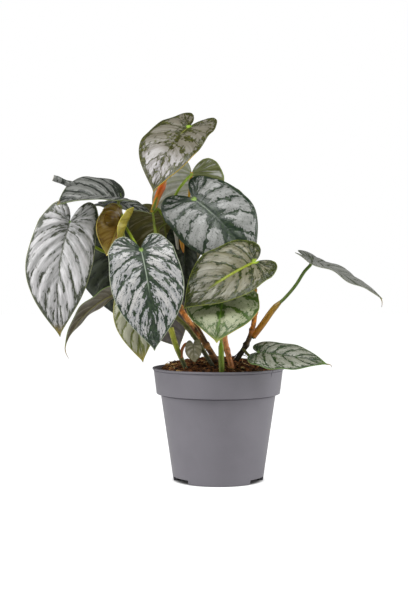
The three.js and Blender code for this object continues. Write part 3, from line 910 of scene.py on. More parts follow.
    def relief(self, x: np.ndarray, y: np.ndarray, column: np.ndarray, phase: np.ndarray,
               spacing: np.ndarray, edge: np.ndarray) -> tuple[np.ndarray, np.ndarray]:
        """Heights that the smooth blade is moved by.

        Args:
            x: Distances along the midrib.
            y: Distances out from it.
            column: Share of the way from the midrib to the margin.
            phase: Count of side veins, which is a whole number on a vein.
            spacing: Half the distance between two veins.
            edge: Distance to the margin.

        Returns:
            How far the whole blade rises there, and how far the under side's veins stand out.
        """
        beside = np.abs((phase + 0.5) % 1 - 0.5) * 2
        t = np.clip(x / self.length, 0.0, 1.0)
        swell = np.sin(beside * math.pi / 2) * smooth(column * 3) * smooth(edge / 6)
        swell = swell * np.clip(spacing / PUCKER_SPACING, 0.0, 1.0)
        groove = np.exp(-((y / GROOVE_WIDTH) ** 2)) * (1 - 0.7 * t) * smooth((x + 3) / 4)
        s = self.seed
        rolling = np.sin(x * 0.31 + s) * np.sin(y * 0.27 + 1.7 * s)
        rolling = rolling + 0.5 * np.sin(x * 0.13 - y * 0.41 + s)
        relief = self.quilt * swell - GROOVE_DEPTH * groove
        relief = relief + ROLL_HEIGHT * rolling * smooth(y / 5) * smooth(edge / 4)
        rib = RIB_HEIGHT * np.exp(-((y / RIB_WIDTH) ** 2)) * (1 - 0.75 * t) * smooth((x + 2) / 3)
        side_veins = np.exp(-((beside * spacing / SIDE_VEIN_WIDTH) ** 2)) * (1 - column) ** 0.6
        return relief, rib + SIDE_VEIN_HEIGHT * side_veins * smooth(spacing / 2)

    def build(self) -> bpy.types.Object:
        """Makes the blade, with both its sides and its rim.

        Returns:
            The new object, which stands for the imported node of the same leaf.
        """
        halves = [self.half(side) for side in Side]
        plus = patches(BLADE_ROWS + 1, BLADE_COLUMNS + 1)
        faces = np.vstack([plus, plus[:, [0, 3, 2, 1]] + len(halves[0]["place"])])
        whole = {key: np.concatenate([half[key] for half in halves]) for key in halves[0]}
        mesh = bpy.data.meshes.new(self.name)
        mesh.from_pydata(whole["place"].tolist(), [], faces.tolist())
        for key in ("Veins", "Flat", "Edge"):
            add_map(mesh, key, whole[key])
        for key in ("relief", "ridge"):
            mesh.attributes.new(key, "FLOAT", "POINT").data.foreach_set("value", whole[key])
        weave = bmesh.new()
        weave.from_mesh(mesh)
        bmesh.ops.remove_doubles(weave, verts=weave.verts, dist=1e-6)
        weave.normal_update()
        layer = weave.verts.layers.float["relief"]
        moved = [vertex.co + vertex.normal * vertex[layer] for vertex in weave.verts]
        for vertex, place in zip(weave.verts, moved):
            vertex.co = place
        weave.to_mesh(mesh)
        weave.free()
        upper = self.upper.dress(f"{self.name}_face", self.seed, self.length)
        under = self.under.dress(f"{self.name}_back", self.seed, self.length)
        piece = link(f"{self.name}_blade", mesh, upper, under)
        thicken(piece, self.thickness, careful=True)
        self.raise_ribs(piece.data)
        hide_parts(f"leaf_{self.name}")
        return piece

    @staticmethod
    def raise_ribs(mesh: bpy.types.Mesh) -> None:
        """Raises the veins of a blade's under side.

        Args:
            mesh: The blade's mesh, with its thickness.
        """
        upper = {v for face in mesh.polygons if face.material_index == 0 for v in face.vertices}
        heights = mesh.attributes["ridge"].data
        normals = [v.normal.copy() for v in mesh.vertices]
        for vertex in mesh.vertices:
            if vertex.index not in upper:
                vertex.co += normals[vertex.index] * heights[vertex.index].value
        for key in ("relief", "ridge"):
            mesh.attributes.remove(mesh.attributes[key])


def curve(path: np.ndarray, step: float) -> np.ndarray:
    """Smooth centripetal curve through points.

    Args:
        path: The points, in millimetres.
        step: Distance between two places on the curve.

    Returns:
        Places on the curve, the first and the last point among them.
    """
    ends = np.vstack([2 * path[0] - path[1], path, 2 * path[-1] - path[-2]])
    gaps = np.maximum(np.sqrt(np.linalg.norm(np.diff(ends, axis=0), axis=1)), 1e-4)
    places = []
    for i in range(len(path) - 1):
        p0, p1, p2, p3 = ends[i : i + 4]
        g0, g1, g2 = gaps[i : i + 3]
        leave = ((p1 - p0) / g0 - (p2 - p0) / (g0 + g1) + (p2 - p1) / g1) * g1
        arrive = ((p2 - p1) / g1 - (p3 - p1) / (g1 + g2) + (p3 - p2) / g2) * g1
        count = max(2, int(np.linalg.norm(p2 - p1) / step))
        t = np.arange(count)[:, None] / count
        bend = -3 * p1 + 3 * p2 - 2 * leave - arrive
        places.append(p1 + leave * t + bend * t**2 + (2 * p1 - 2 * p2 + leave + arrive) * t**3)
    return np.vstack([*places, path[-1:]])


class Tone(Enum):
    """Colours along a stem, from its foot to its end, by the share of its length."""

    MIDDLE = ((0.0, "35240f"), (0.1, "7a4c22"), (0.16, "f0a860"), (0.24, "f0a058"),
              (0.28, "8a5022"), (0.34, "f09c58"), (0.42, "e88838"), (0.5, "f0b038"),
              (0.6, "b89a2c"), (0.72, "7f8c22"), (1.0, "a4bc3a"))
    RIGHT = ((0.0, "8a4a20"), (0.12, "ec9450"), (0.3, "f6a468"), (0.5, "e49448"),
             (0.75, "9a9434"), (1.0, "9ab03a"))
    BACK = ((0.0, "1c1a12"), (0.2, "2a2717"), (0.28, "6a4a20"), (0.32, "ec8a24"),
            (0.5, "f0a03c"), (0.7, "9a8a36"), (1.0, "84922f"))
    LEFT = ((0.0, "23260f"), (0.12, "3a3f16"), (0.3, "5a6120"), (0.5, "6c7426"), (1.0, "8b9a34"))
    FRONT = ((0.0, "48580a"), (0.3, "627a0a"), (0.7, "748f12"), (1.0, "86a426"))
    SHEATH_LEFT = ((0.0, "1d2a0c"), (0.35, "2f4010"), (0.55, "7c8a1e"), (0.8, "a8ae38"),
                   (1.0, "c8c84c"))
    LIME = ((0.0, "7e9022"), (0.5, "96ae2c"), (1.0, "9fc23c"))
    OLIVE = ((0.0, "6a6c2a"), (1.0, "8a9440"))
    ORANGE = ((0.0, "f0c040"), (0.25, "f4ac2c"), (0.5, "f08022"), (0.75, "ee6a26"),
              (1.0, "d8a048"))
    BROWN_SHEATH = ((0.0, "b87018"), (0.4, "b4801c"), (0.8, "a4822a"), (1.0, "9a8434"))
    GREEN_STALK = ((0.0, "6b7420"), (0.6, "5f7a2a"), (1.0, "6d9136"))
    RUSTY = ((0.0, "a86436"), (0.7, "b8703c"), (1.0, "8a7a34"))
    HUSK = ((0.0, "4a2214"), (0.5, "6e3424"), (1.0, "5a2c1a"))
    BRACT = ((0.0, "c8cc4a"), (0.5, "e8a82c"), (1.0, "d8882a"))
    PAPER = ((0.0, "c8c49a"), (0.4, "e4e0d8"), (1.0, "c4bcae"))
    ROOT = ((0.0, "2a1d12"), (1.0, "14100a"))
    TIP = ((0.0, "8a8a2c"), (0.5, "a88a2e"), (1.0, "5a3a1a"))


@dataclass(frozen=True)
class StalkFinish:
    """Skin of stems and stalks: their own tints, with fine lines along them, pale dots and dark
    patches where a shaft is mottled, strongest at its foot."""

    line: str = "2c2410"
    dot: str = "d0b070"
    patch: str = "2e2414"
    gloss: float = 0.36
    grit: float = 0.2
    lines: float = 0.4

    def dress(self, name: str) -> bpy.types.Material:
        """Makes the material.

        Args:
            name: The material's name.

        Returns:
            The material.
        """
        sheet = Sheet(name)
        around, along = sheet.map("Bark")
        drawn = sheet.join(sheet.times(around, 9.0), sheet.times(along, 0.16), 0.0)
        line = sheet.noise(drawn, 1.0, 3.0, 0.6)
        dots = sheet.noise(sheet.place(), 900.0)
        dark = sheet.times(sheet.step(line, 0.35, 0.6, 1.0, 0.0), self.lines)
        skin = sheet.mix(dark, sheet.tint("Tint"), self.line)
        skin = sheet.mix(sheet.step(dots, 0.6, 0.7, 0.0, 0.25), skin, self.dot)
        patch = sheet.step(sheet.noise(sheet.place(), 190.0, 3.0, 0.6), 0.44, 0.52, 1.0, 0.0)
        patch = sheet.times(patch, sheet.tint("Tint", "Alpha"))
        skin = sheet.mix(patch, skin, self.patch)
        sheet.bump(sheet.calc("ADD", line, dots), 0.12, 0.7)
        return sheet.skin(skin, sheet.scaled(dots, self.grit, self.gloss - self.grit / 2), 0.45)


@dataclass
class Shaft:
    """One stem, stalk or sheath: a tube along a path. end is its radius there over the one at its
    foot, wide its width over its thickness, swelling how much it swells at its joints, which are
    the inner points of its path, wings how far its two edges stand out, belly how much it is
    fuller half way, pointed the share of it that runs to a point, and mottle how strongly its dark
    patches show, which grow stronger towards its foot."""

    path: tuple[Point, ...]
    radius: float
    tone: Tone
    leaf: str = ""
    end: float = 1.0
    ease: float = 1.0
    wide: float = 1.0
    swelling: float = 0.0
    wings: float = 0.0
    belly: float = 0.0
    pointed: float = 0.0
    mottle: float = 0.0
    joint_length: float = 1.9
    joint_waist: float = 0.12
    joint_dark: float = 0.55
    dark_length: float = 1.1

    def rings(self, along: np.ndarray, joints: list[float]) -> tuple[np.ndarray, np.ndarray]:
        """Radius and colour of the shaft at each place.

        Args:
            along: Distances of the places from its foot.
            joints: Distances of its joints from its foot.

        Returns:
            The radii, and the colours with the strength of the patches as their alpha.
        """
        share = along / along[-1]
        size = 1 + (self.end - 1) * share**self.ease + self.belly * np.sin(math.pi * share)
        size = self.radius * size
        stops = [stop for stop, _ in self.tone.value]
        tones = np.array([colour(code) for _, code in self.tone.value])
        tints = np.stack([np.interp(share, stops, tone) for tone in tones.T], axis=-1)
        near = np.zeros(len(along))
        for joint in joints:
            off = (along - joint) / self.joint_length
            size = size + self.radius * self.swelling * np.exp(-(off**2))
            size = size - self.radius * self.joint_waist * np.exp(-(((off - 1.6) / 0.35) ** 2))
            near = np.maximum(near, np.exp(-(((along - joint) / self.dark_length) ** 2)))
        if self.pointed:
            size = size * np.clip((1 - share) / self.pointed, 0.05, 1.0) ** 0.6
        tints[:, :3] *= 1 - self.joint_dark * near[:, None]
        tints[:, 3] = self.mottle * (1 - share) ** 0.7
        return size, tints


@dataclass
class Tube:
    """Vertices, faces, tints and maps of tubes that are joined in one mesh. A shaft's wings are
    wing_turn from its sides, in radians, and as wide as wing_width."""

    places: list[np.ndarray] = field(default_factory=list)
    faces: list[tuple[int, ...]] = field(default_factory=list)
    tints: list[np.ndarray] = field(default_factory=list)
    maps: list[np.ndarray] = field(default_factory=list)
    count: int = 0
    front: Point = (0.0, -1.0, 0.0)
    wing_turn: float = 0.5
    wing_width: float = 0.3
    wing_tone: str = "c8c468"

    def add(self, shaft: Shaft, points: np.ndarray, sides: int, step: float = 1.1) -> None:
        """Adds a shaft.

        Args:
            shaft: Its sizes and tone.
            points: The points of its path, in millimetres.
            sides: How many faces go round it.
            step: Distance between two of its rings.
        """
        line = curve(points, step)
        lengths = np.linalg.norm(np.diff(line, axis=0), axis=1)
        along = np.concatenate([[0.0], np.cumsum(lengths)])
        joints = []
        if shaft.swelling:
            nearest = [np.argmin(np.linalg.norm(line - p, axis=1)) for p in points[2:-1]]
            joints = [float(along[place]) for place in nearest]
        radius, tints = shaft.rings(along, joints)
        turns = np.linspace(0, 2 * math.pi, sides, endpoint=False)
        wing = sum(np.exp(-(((turns - middle) / self.wing_width) ** 2))
                   for middle in (self.wing_turn, math.pi - self.wing_turn))
        ring = 1 + shaft.wings * wing
        front = np.array(self.front)
        for place, heading, size, tint, reach in zip(line, headings(line), radius, tints, along):
            out = unit(front - heading * front.dot(heading))
            across = np.cross(heading, out)
            self.places.append(place + size * ring[:, None] * (
                np.cos(turns)[:, None] * across * shaft.wide + np.sin(turns)[:, None] * out))
            foot = smooth(reach / along[-1] * 4)
            edge = (np.minimum(1.0, wing * shaft.wings * 2) * foot)[:, None]
            self.tints.append(tint * (1 - edge) + np.array(colour(self.wing_tone)) * edge)
            self.maps.append(np.stack([turns / (2 * math.pi), np.full(sides, reach)], axis=-1))
        first, last = self.count, self.count + (len(line) - 1) * sides
        self.faces += hoops(len(line), sides, first)
        self.faces.append(tuple(range(first + sides - 1, first - 1, -1)))
        self.faces.append(tuple(range(last, last + sides)))
        self.count += len(line) * sides

    def mesh(self, name: str) -> bpy.types.Mesh:
        """Mesh of all that was added.

        Args:
            name: The mesh's name.

        Returns:
            The mesh, with its tints and the map along the tubes.
        """
        mesh = bpy.data.meshes.new(name)
        mesh.from_pydata((np.vstack(self.places) * MM).tolist(), [], self.faces)
        tints = mesh.color_attributes.new("Tint", "FLOAT_COLOR", "POINT")
        tints.data.foreach_set("color", np.vstack(self.tints).astype(np.float32).ravel())
        add_map(mesh, "Bark", np.vstack(self.maps))
        return mesh


@dataclass
class Stem:
    """A leafy shoot with the stalks of its leaves, from just under the soil to the blades. Its
    roots are short rootlets at its joints, and the seat is where a stalk ends under a blade."""

    name: str
    shafts: tuple[Shaft, ...]
    roots: tuple[tuple[Point, Point], ...] = ()
    root_depth: float = 14.0
    seat_shift: float = 1.6
    seat_bend: float = 5.0
    seat_gap: float = 0.75
    shoot_sides: int = 16
    stalk_sides: int = 12
    root_radius: float = 0.5
    root_sides: int = 6
    root_points: int = 5

    def points(self, shaft: Shaft, blades: dict[str, Blade], first: bool) -> np.ndarray:
        """Points of a shaft's path, with its root or with its seat under a blade.

        Args:
            shaft: The shaft.
            blades: The blades by name.
            first: Whether it is the shoot itself, which goes on into the soil.

        Returns:
            The points, in millimetres.
        """
        points = np.array(shaft.path, float)
        if first:
            down = unit(points[0] - points[1])
            points = np.vstack([points[0] + down * self.root_depth, points])
        if shaft.leaf:
            blade = blades[shaft.leaf]
            seat = blade.origin + blade.axes[0] * self.seat_shift
            ends = [seat - blade.axes[2] * self.seat_bend, seat - blade.axes[2] * self.seat_gap]
            points = np.vstack([points, *ends])
        return points

    def build(self, blades: dict[str, Blade], skin: bpy.types.Material) -> bpy.types.Object:
        """Makes the stem.

        Args:
            blades: The blades by name.
            skin: The material of stems.

        Returns:
            The new object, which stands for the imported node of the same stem.
        """
        tube = Tube()
        for index, shaft in enumerate(self.shafts):
            points = self.points(shaft, blades, index == 0)
            tube.add(shaft, points, self.stalk_sides if index else self.shoot_sides)
        rng = np.random.default_rng(len(self.name))
        count = self.root_points
        for start, end in self.roots:
            bends = rng.normal(0, 0.5, (count, 3))
            bends[0] = 0.0
            root = Shaft((), self.root_radius, Tone.ROOT, end=0.35)
            tube.add(root, np.linspace(start, end, count) + bends, self.root_sides, 1.2)
        piece = link(f"{self.name}_shoots", tube.mesh(self.name), skin)
        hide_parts(self.name)
        return piece


@dataclass(frozen=True)
class SoilFinish:
    """Damp dark potting mix, and the bark and fibres in it by their own tints."""

    dark: str = "1e120a"
    light: str = "946038"
    fleck: str = "8c6238"
    ground_gloss: float = 0.72
    bits_gloss: float = 0.65
    grit: float = 0.2
    specular: float = 0.3

    def ground(self) -> bpy.types.Material:
        """Makes the material of the mix itself.

        Returns:
            The material.
        """
        sheet = Sheet("potting_mix")
        place = sheet.place()
        coarse = sheet.noise(place, 260.0, 4.0, 0.65)
        fine = sheet.noise(place, 1400.0)
        skin = sheet.mix(sheet.step(coarse, 0.35, 0.68), self.dark, self.light)
        skin = sheet.mix(sheet.step(fine, 0.6, 0.75, 0.0, 0.6), skin, self.fleck)
        sheet.bump(sheet.calc("ADD", coarse, fine), 0.9, 0.9)
        return sheet.skin(skin, sheet.scaled(fine, self.grit, self.ground_gloss), self.specular)

    def bits(self) -> bpy.types.Material:
        """Makes the material of the loose bark and fibres.

        Returns:
            The material.
        """
        sheet = Sheet("bark_bits")
        grain = sheet.noise(sheet.place(), 1100.0, 3.0, 0.6)
        dark = sheet.step(grain, 0.3, 0.7, 0.55, 0.0)
        skin = sheet.mix(dark, sheet.tint("Tint"), self.dark)
        sheet.bump(grain, 0.3, 0.8)
        return sheet.skin(skin, sheet.scaled(grain, self.grit, self.bits_gloss), self.specular)


@dataclass
class SoilBed:
    """The potting mix that fills the pot, with bark chips and fibres lying on it. It rests on the
    pot's shelf under the band, and goes down to the floor. clear is how far the bits keep from
    its edge, and odds say how often each of their tones comes."""

    top: float = 104.0
    mound: float = 6.0
    mound_reach: float = 50.0
    mound_back: float = 5.0
    least_mound: float = -2.0
    edge_drop: float = 8.0
    edge_start: float = 47.0
    edge_width: float = 10.0
    lump: float = 0.66
    top_radius: float = 56.2
    middle_radius: float = 0.5
    shelf: float = 80.6
    shelf_outer: float = 54.6
    shelf_inner: float = 50.6
    floor: float = 6.1
    floor_radius: float = 40.0
    rings: int = 64
    sides: int = 200
    chips: int = 760
    fibres: int = 420
    clear: float = 2.5
    seed: int = 7
    tones: tuple[str, ...] = ("20130a", "5e3618", "8a5228", "b0703e", "d09656", "ecbc78", "fadc9c")
    odds: tuple[float, ...] = (0.16, 0.18, 0.2, 0.17, 0.14, 0.09, 0.06)
    finish: SoilFinish = SoilFinish()

    def height(self, x: float, y: float) -> float:
        """Height of the mix's surface, with its crumbs.

        Args:
            x: A place, to the right of the pot's middle.
            y: The place, behind the pot's middle.

        Returns:
            The height there.
        """
        mound = self.mound * (1 - (x * x + (y - self.mound_back) ** 2) / self.mound_reach**2)
        drop = self.edge_drop * float(smooth((np.hypot(x, y) - self.edge_start) / self.edge_width))
        lumps = math.sin(x * 0.61 + 1.3) * math.cos(y * 0.53)
        lumps = lumps + 0.6 * math.sin(x * 0.23 - y * 0.37)
        level = self.top + max(mound, self.least_mound) - drop + self.lump * lumps
        place = Vector((x, y, 3.0))
        crumbs = noise.noise(place / 6.0) * 2.0 + noise.noise(place / 2.4) * 1.3
        return level + (crumbs + noise.noise(place / 0.9) * 0.45)

    def build(self) -> list[bpy.types.Object]:
        """Makes the mix and what lies on it.

        Returns:
            The new objects.
        """
        surface = [self.middle_radius + self.top_radius * r / self.rings for r in range(self.rings)]
        rings = [(min(radius, self.top_radius), None) for radius in surface]
        rings += [(self.top_radius, None), (self.shelf_outer, self.shelf),
                  (self.shelf_inner, self.shelf), (self.floor_radius, self.floor),
                  (self.middle_radius, self.floor)]
        places = []
        for radius, level in rings:
            for x, y in circle(radius, self.sides):
                z = self.height(x, y) if level is None else level
                places.append((x * MM, y * MM, z * MM))
        faces = [tuple(range(self.sides)),
                 tuple(range(len(places) - 1, len(places) - 1 - self.sides, -1)),
                 *hoops(len(rings), self.sides, flipped=True)]
        mesh = bpy.data.meshes.new("potting_mix")
        mesh.from_pydata(places, [], faces)
        bed = link("potting_mix", mesh, self.finish.ground())
        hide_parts("soil")
        return [bed, self.scatter()]

    def scatter(self) -> bpy.types.Object:
        """Makes the chips and fibres as one piece.

        Returns:
            The new object.
        """
        rng = np.random.default_rng(self.seed)
        tints = [colour(tone) for tone in self.tones]
        heap = bmesh.new()
        layer = heap.verts.layers.float_color.new("Tint")
        for index in range(self.chips + self.fibres):
            reach = (self.top_radius - self.clear) * math.sqrt(rng.random())
            turn = rng.random() * 2 * math.pi
            x, y = reach * math.cos(turn), reach * math.sin(turn)
            spot = np.array([x, y, self.height(x, y) + 0.3])
            tint = tints[rng.choice(len(tints), p=self.odds)]
            spin = rng.random() * 2 * math.pi
            across = np.array([math.cos(spin), math.sin(spin), rng.normal(0, 0.25)])
            add = self.chip if index < self.chips else self.fibre
            for vertex in add(heap, spot, across, rng):
                vertex[layer] = tint
        loose = [v for v in heap.verts if not v.link_faces]
        bmesh.ops.delete(heap, geom=loose, context="VERTS")
        mesh = bpy.data.meshes.new("bark_bits")
        heap.to_mesh(mesh)
        heap.free()
        piece = link("bark_bits", mesh, self.finish.bits())
        mesh.polygons.foreach_set("use_smooth", np.zeros(len(mesh.polygons), bool))
        return piece

    @staticmethod
    def chip(heap: bmesh.types.BMesh, spot: np.ndarray, across: np.ndarray,
             rng: np.random.Generator) -> list[bmesh.types.BMVert]:
        """Adds one bark chip to the loose bits.

        Args:
            heap: The mesh of the bits.
            spot: Where it lies.
            across: The direction of its length.
            rng: What its size and shape are drawn from.

        Returns:
            Its vertices.
        """
        size = 1.2 + 3.4 * rng.random() ** 2.2
        frame_of_chip = np.array([across, np.cross(across, [0, 0, 1.0]), [0, 0, 1.0]])
        corners = rng.uniform(-1, 1, (9, 3)) * [size, size * 0.55, size * 0.3]
        made = [heap.verts.new((spot + corner @ frame_of_chip) * MM) for corner in corners]
        bmesh.ops.convex_hull(heap, input=made, use_existing_faces=False)
        return [v for v in made if v.is_valid]

    @staticmethod
    def fibre(heap: bmesh.types.BMesh, spot: np.ndarray, across: np.ndarray,
              rng: np.random.Generator) -> list[bmesh.types.BMVert]:
        """Adds one fibre to the loose bits.

        Args:
            heap: The mesh of the bits.
            spot: Where it lies.
            across: The direction of its length.
            rng: What its size and bend are drawn from.

        Returns:
            Its vertices.
        """
        size = 2.0 + 6.0 * rng.random()
        rise = np.array([0, 0, rng.uniform(0.1, 0.5) * size])
        half = across * size / 2
        line = curve(np.array([spot - half, spot + rise * rng.uniform(0, 1), spot + half]), 1.0)
        radius = 0.14 + 0.16 * rng.random()
        ring = [radius * np.array([math.cos(t), math.sin(t), math.cos(t + 1)])
                for t in (0, 2.1, 4.2)]
        rings = [[heap.verts.new((place + corner) * MM) for corner in ring] for place in line]
        for below, above in zip(rings, rings[1:]):
            for j in range(3):
                k = (j + 1) % 3
                heap.faces.new((below[j], below[k], above[k], above[j]))
        return [v for ring_made in rings for v in ring_made]


@dataclass(frozen=True)
class PotFinish:
    """Satin grey injection-moulded plastic."""

    base: str = "807d84"
    mark: str = "6f6c73"
    dust: str = "b4b2b8"
    gloss: float = 0.4
    cloud: float = 0.12

    def dress(self) -> bpy.types.Material:
        """Makes the material.

        Returns:
            The material.
        """
        sheet = Sheet("pot_plastic")
        place = sheet.place()
        cloud = sheet.noise(place, 28.0, 3.0)
        grain = sheet.noise(place, 2600.0)
        mark = sheet.step(cloud, 0.35, 0.75, 0.0, 0.35)
        skin = sheet.mix(mark, self.base, self.mark)
        skin = sheet.mix(sheet.step(grain, 0.62, 0.74, 0.0, 0.18), skin, self.dust)
        sheet.bump(grain, 0.05, 0.5)
        return sheet.skin(skin, sheet.scaled(cloud, self.cloud, self.gloss - self.cloud / 2), 0.5)


@dataclass
class NurseryPot:
    """A thin round pot with a flared band under its lip, a foot ring with notches and a raised
    floor with drain holes. A fine line runs under the lip, and a groove under the band."""

    height: float = 103.0
    rim_radius: float = 60.0
    lip_height: float = 2.0
    lip_line: float = 0.45
    groove: float = 0.45
    groove_drop: float = 1.3
    wall: float = 1.3
    band_foot: float = 79.0
    band_foot_radius: float = 56.3
    band_top_radius: float = 59.1
    body_top_radius: float = 52.5
    base_radius: float = 41.0
    foot_width: float = 2.7
    floor_underside: float = 4.3
    floor_top: float = 5.8
    boss_radius: float = 7.0
    sides: int = 168
    fillet_steps: int = 5
    crease: float = 35.0
    notch_angles: tuple[float, ...] = (-60.0, 62.0, 180.0)
    notch_width: float = 27.0
    notch_depth: float = 14.0
    notch_height: float = 4.2
    drains: int = 6
    drain_radius: float = 3.5
    drain_circle: float = 22.0
    drain_sides: int = 28
    drain_depth: float = 20.0
    drain_level: float = 5.0
    seam_angle: float = 52.8
    seam_inset: float = 0.6
    seam_drop: float = 1.8
    seam_size: Point = (0.7, 2.2, 10.0)
    finish: PotFinish = PotFinish()

    def band(self, z: float) -> float:
        """Radius of the band's outside at a height."""
        climb = (z - self.band_foot) / (self.height - self.band_foot)
        return self.band_foot_radius + (self.band_top_radius - self.band_foot_radius) * climb

    def body(self, z: float) -> float:
        """Radius of the body's outside at a height."""
        return self.base_radius + (self.body_top_radius - self.base_radius) * z / self.band_foot

    def profile(self) -> list[tuple[float, float]]:
        """Half section of the pot, from the middle of its underside round to its floor.

        Returns:
            Radius and height of its points.
        """
        lip = self.height - self.lip_height
        line = self.band(lip) - self.lip_line
        shelf = self.band_foot + self.wall
        groove = self.band_foot - self.groove_drop
        deep = self.body(groove) - self.groove
        corners = [  # radius, height and the reach of the rounding
            (0.0, 0.0, 0.0), (self.boss_radius, 0.0, 0.4),
            (self.boss_radius, self.floor_underside, 0.4),
            (self.body(self.floor_underside) - self.foot_width, self.floor_underside, 0.6),
            (self.base_radius - self.foot_width, 0.0, 0.5), (self.base_radius, 0.0, 0.9),
            (self.body(groove), groove, 0.3), (deep, groove + 0.5, 0.2),
            (deep, self.band_foot + 0.5, 0.3),
            (self.band_foot_radius - 1.6, self.band_foot + 0.5, 0.2),
            (self.band_foot_radius - 1.4, self.band_foot, 0.2),
            (self.band_foot_radius, self.band_foot, 0.9), (self.band(lip), lip - 0.7, 0.2),
            (line, lip - 0.45, 0.1), (line, lip + 0.1, 0.1), (self.rim_radius, lip + 0.3, 0.3),
            (self.rim_radius, self.height - 0.1, 0.6),
            (self.band(self.height) - self.wall, self.height - 0.05, 0.4),
            (self.band(shelf) - self.wall, shelf, 0.6), (self.body(shelf) - self.wall, shelf, 0.5),
            (self.body(self.floor_top) - self.wall, self.floor_top, 1.0),
            (0.0, self.floor_top, 0.0),
        ]
        points = [corners[0][:2]]
        for before, (r, z, reach), after in zip(corners, corners[1:], corners[2:]):
            here = np.array([r, z])
            start = here + unit(np.array(before[:2]) - here) * reach
            end = here + unit(np.array(after[:2]) - here) * reach
            for t in np.linspace(0, 1, self.fillet_steps):
                point = (1 - t) ** 2 * start + 2 * t * (1 - t) * here + t**2 * end
                points.append((float(point[0]), float(point[1])))
        return [*points, corners[-1][:2]]

    def cutters(self) -> bpy.types.Object:
        """Makes the blocks that cut the notches, the drain holes and the seam.

        Returns:
            The object that cuts them.
        """
        tool = bmesh.new()
        notch = (self.notch_width, self.notch_depth, 2 * self.notch_height)
        for angle in self.notch_angles:
            self.block(tool, angle, self.base_radius - self.foot_width / 2, notch, 0.0)
        self.block(tool, self.seam_angle, self.rim_radius - self.seam_inset, self.seam_size,
                   self.height - self.seam_drop)
        for x, y in circle(self.drain_circle, self.drains):
            made = bmesh.ops.create_cone(
                tool, cap_ends=True, segments=self.drain_sides, radius1=self.drain_radius * MM,
                radius2=self.drain_radius * MM, depth=self.drain_depth * MM)
            spot = Vector((x, y, self.drain_level)) * MM
            bmesh.ops.translate(tool, verts=made["verts"], vec=spot)
        mesh = bpy.data.meshes.new("pot_cutters")
        tool.to_mesh(mesh)
        tool.free()
        return put("pot_cutters", mesh)

    @staticmethod
    def block(tool: bmesh.types.BMesh, angle: float, reach: float, size: Point,
              level: float) -> None:
        """Adds a block that faces outwards.

        Args:
            tool: The mesh of the cutting blocks.
            angle: Its direction from the front, in degrees to the right.
            reach: How far out its middle lies.
            size: Its width, depth and height.
            level: The height of its middle.
        """
        turn = math.radians(angle)
        made = bmesh.ops.create_cube(tool, size=1.0)["verts"]
        bmesh.ops.scale(tool, verts=made, vec=Vector(size) * MM)
        bmesh.ops.rotate(tool, verts=made, matrix=Matrix.Rotation(turn, 3, "Z"))
        spot = Vector((math.sin(turn) * reach, -math.cos(turn) * reach, level)) * MM
        bmesh.ops.translate(tool, verts=made, vec=spot)

    def build(self) -> bpy.types.Object:
        """Makes the pot.

        Returns:
            The new object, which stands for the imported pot.
        """
        rings = self.profile()[1:-1]
        places = [(x * MM, y * MM, z * MM) for r, z in rings for x, y in circle(r, self.sides)]
        faces = [*hoops(len(rings), self.sides), tuple(reversed(range(self.sides))),
                 tuple(range(len(places) - self.sides, len(places)))]
        mesh = bpy.data.meshes.new("nursery_pot")
        mesh.from_pydata(places, [], faces)
        pot = link("nursery_pot", mesh, self.finish.dress())
        cutter = self.cutters()
        cut = pot.modifiers.new("cuts", "BOOLEAN")
        cut.operation = "DIFFERENCE"
        cut.solver = "EXACT"
        cut.object = cutter
        settle(pot)
        bpy.data.objects.remove(cutter)
        pot.data.set_sharp_from_angle(angle=math.radians(self.crease))
        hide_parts("pot")
        return pot


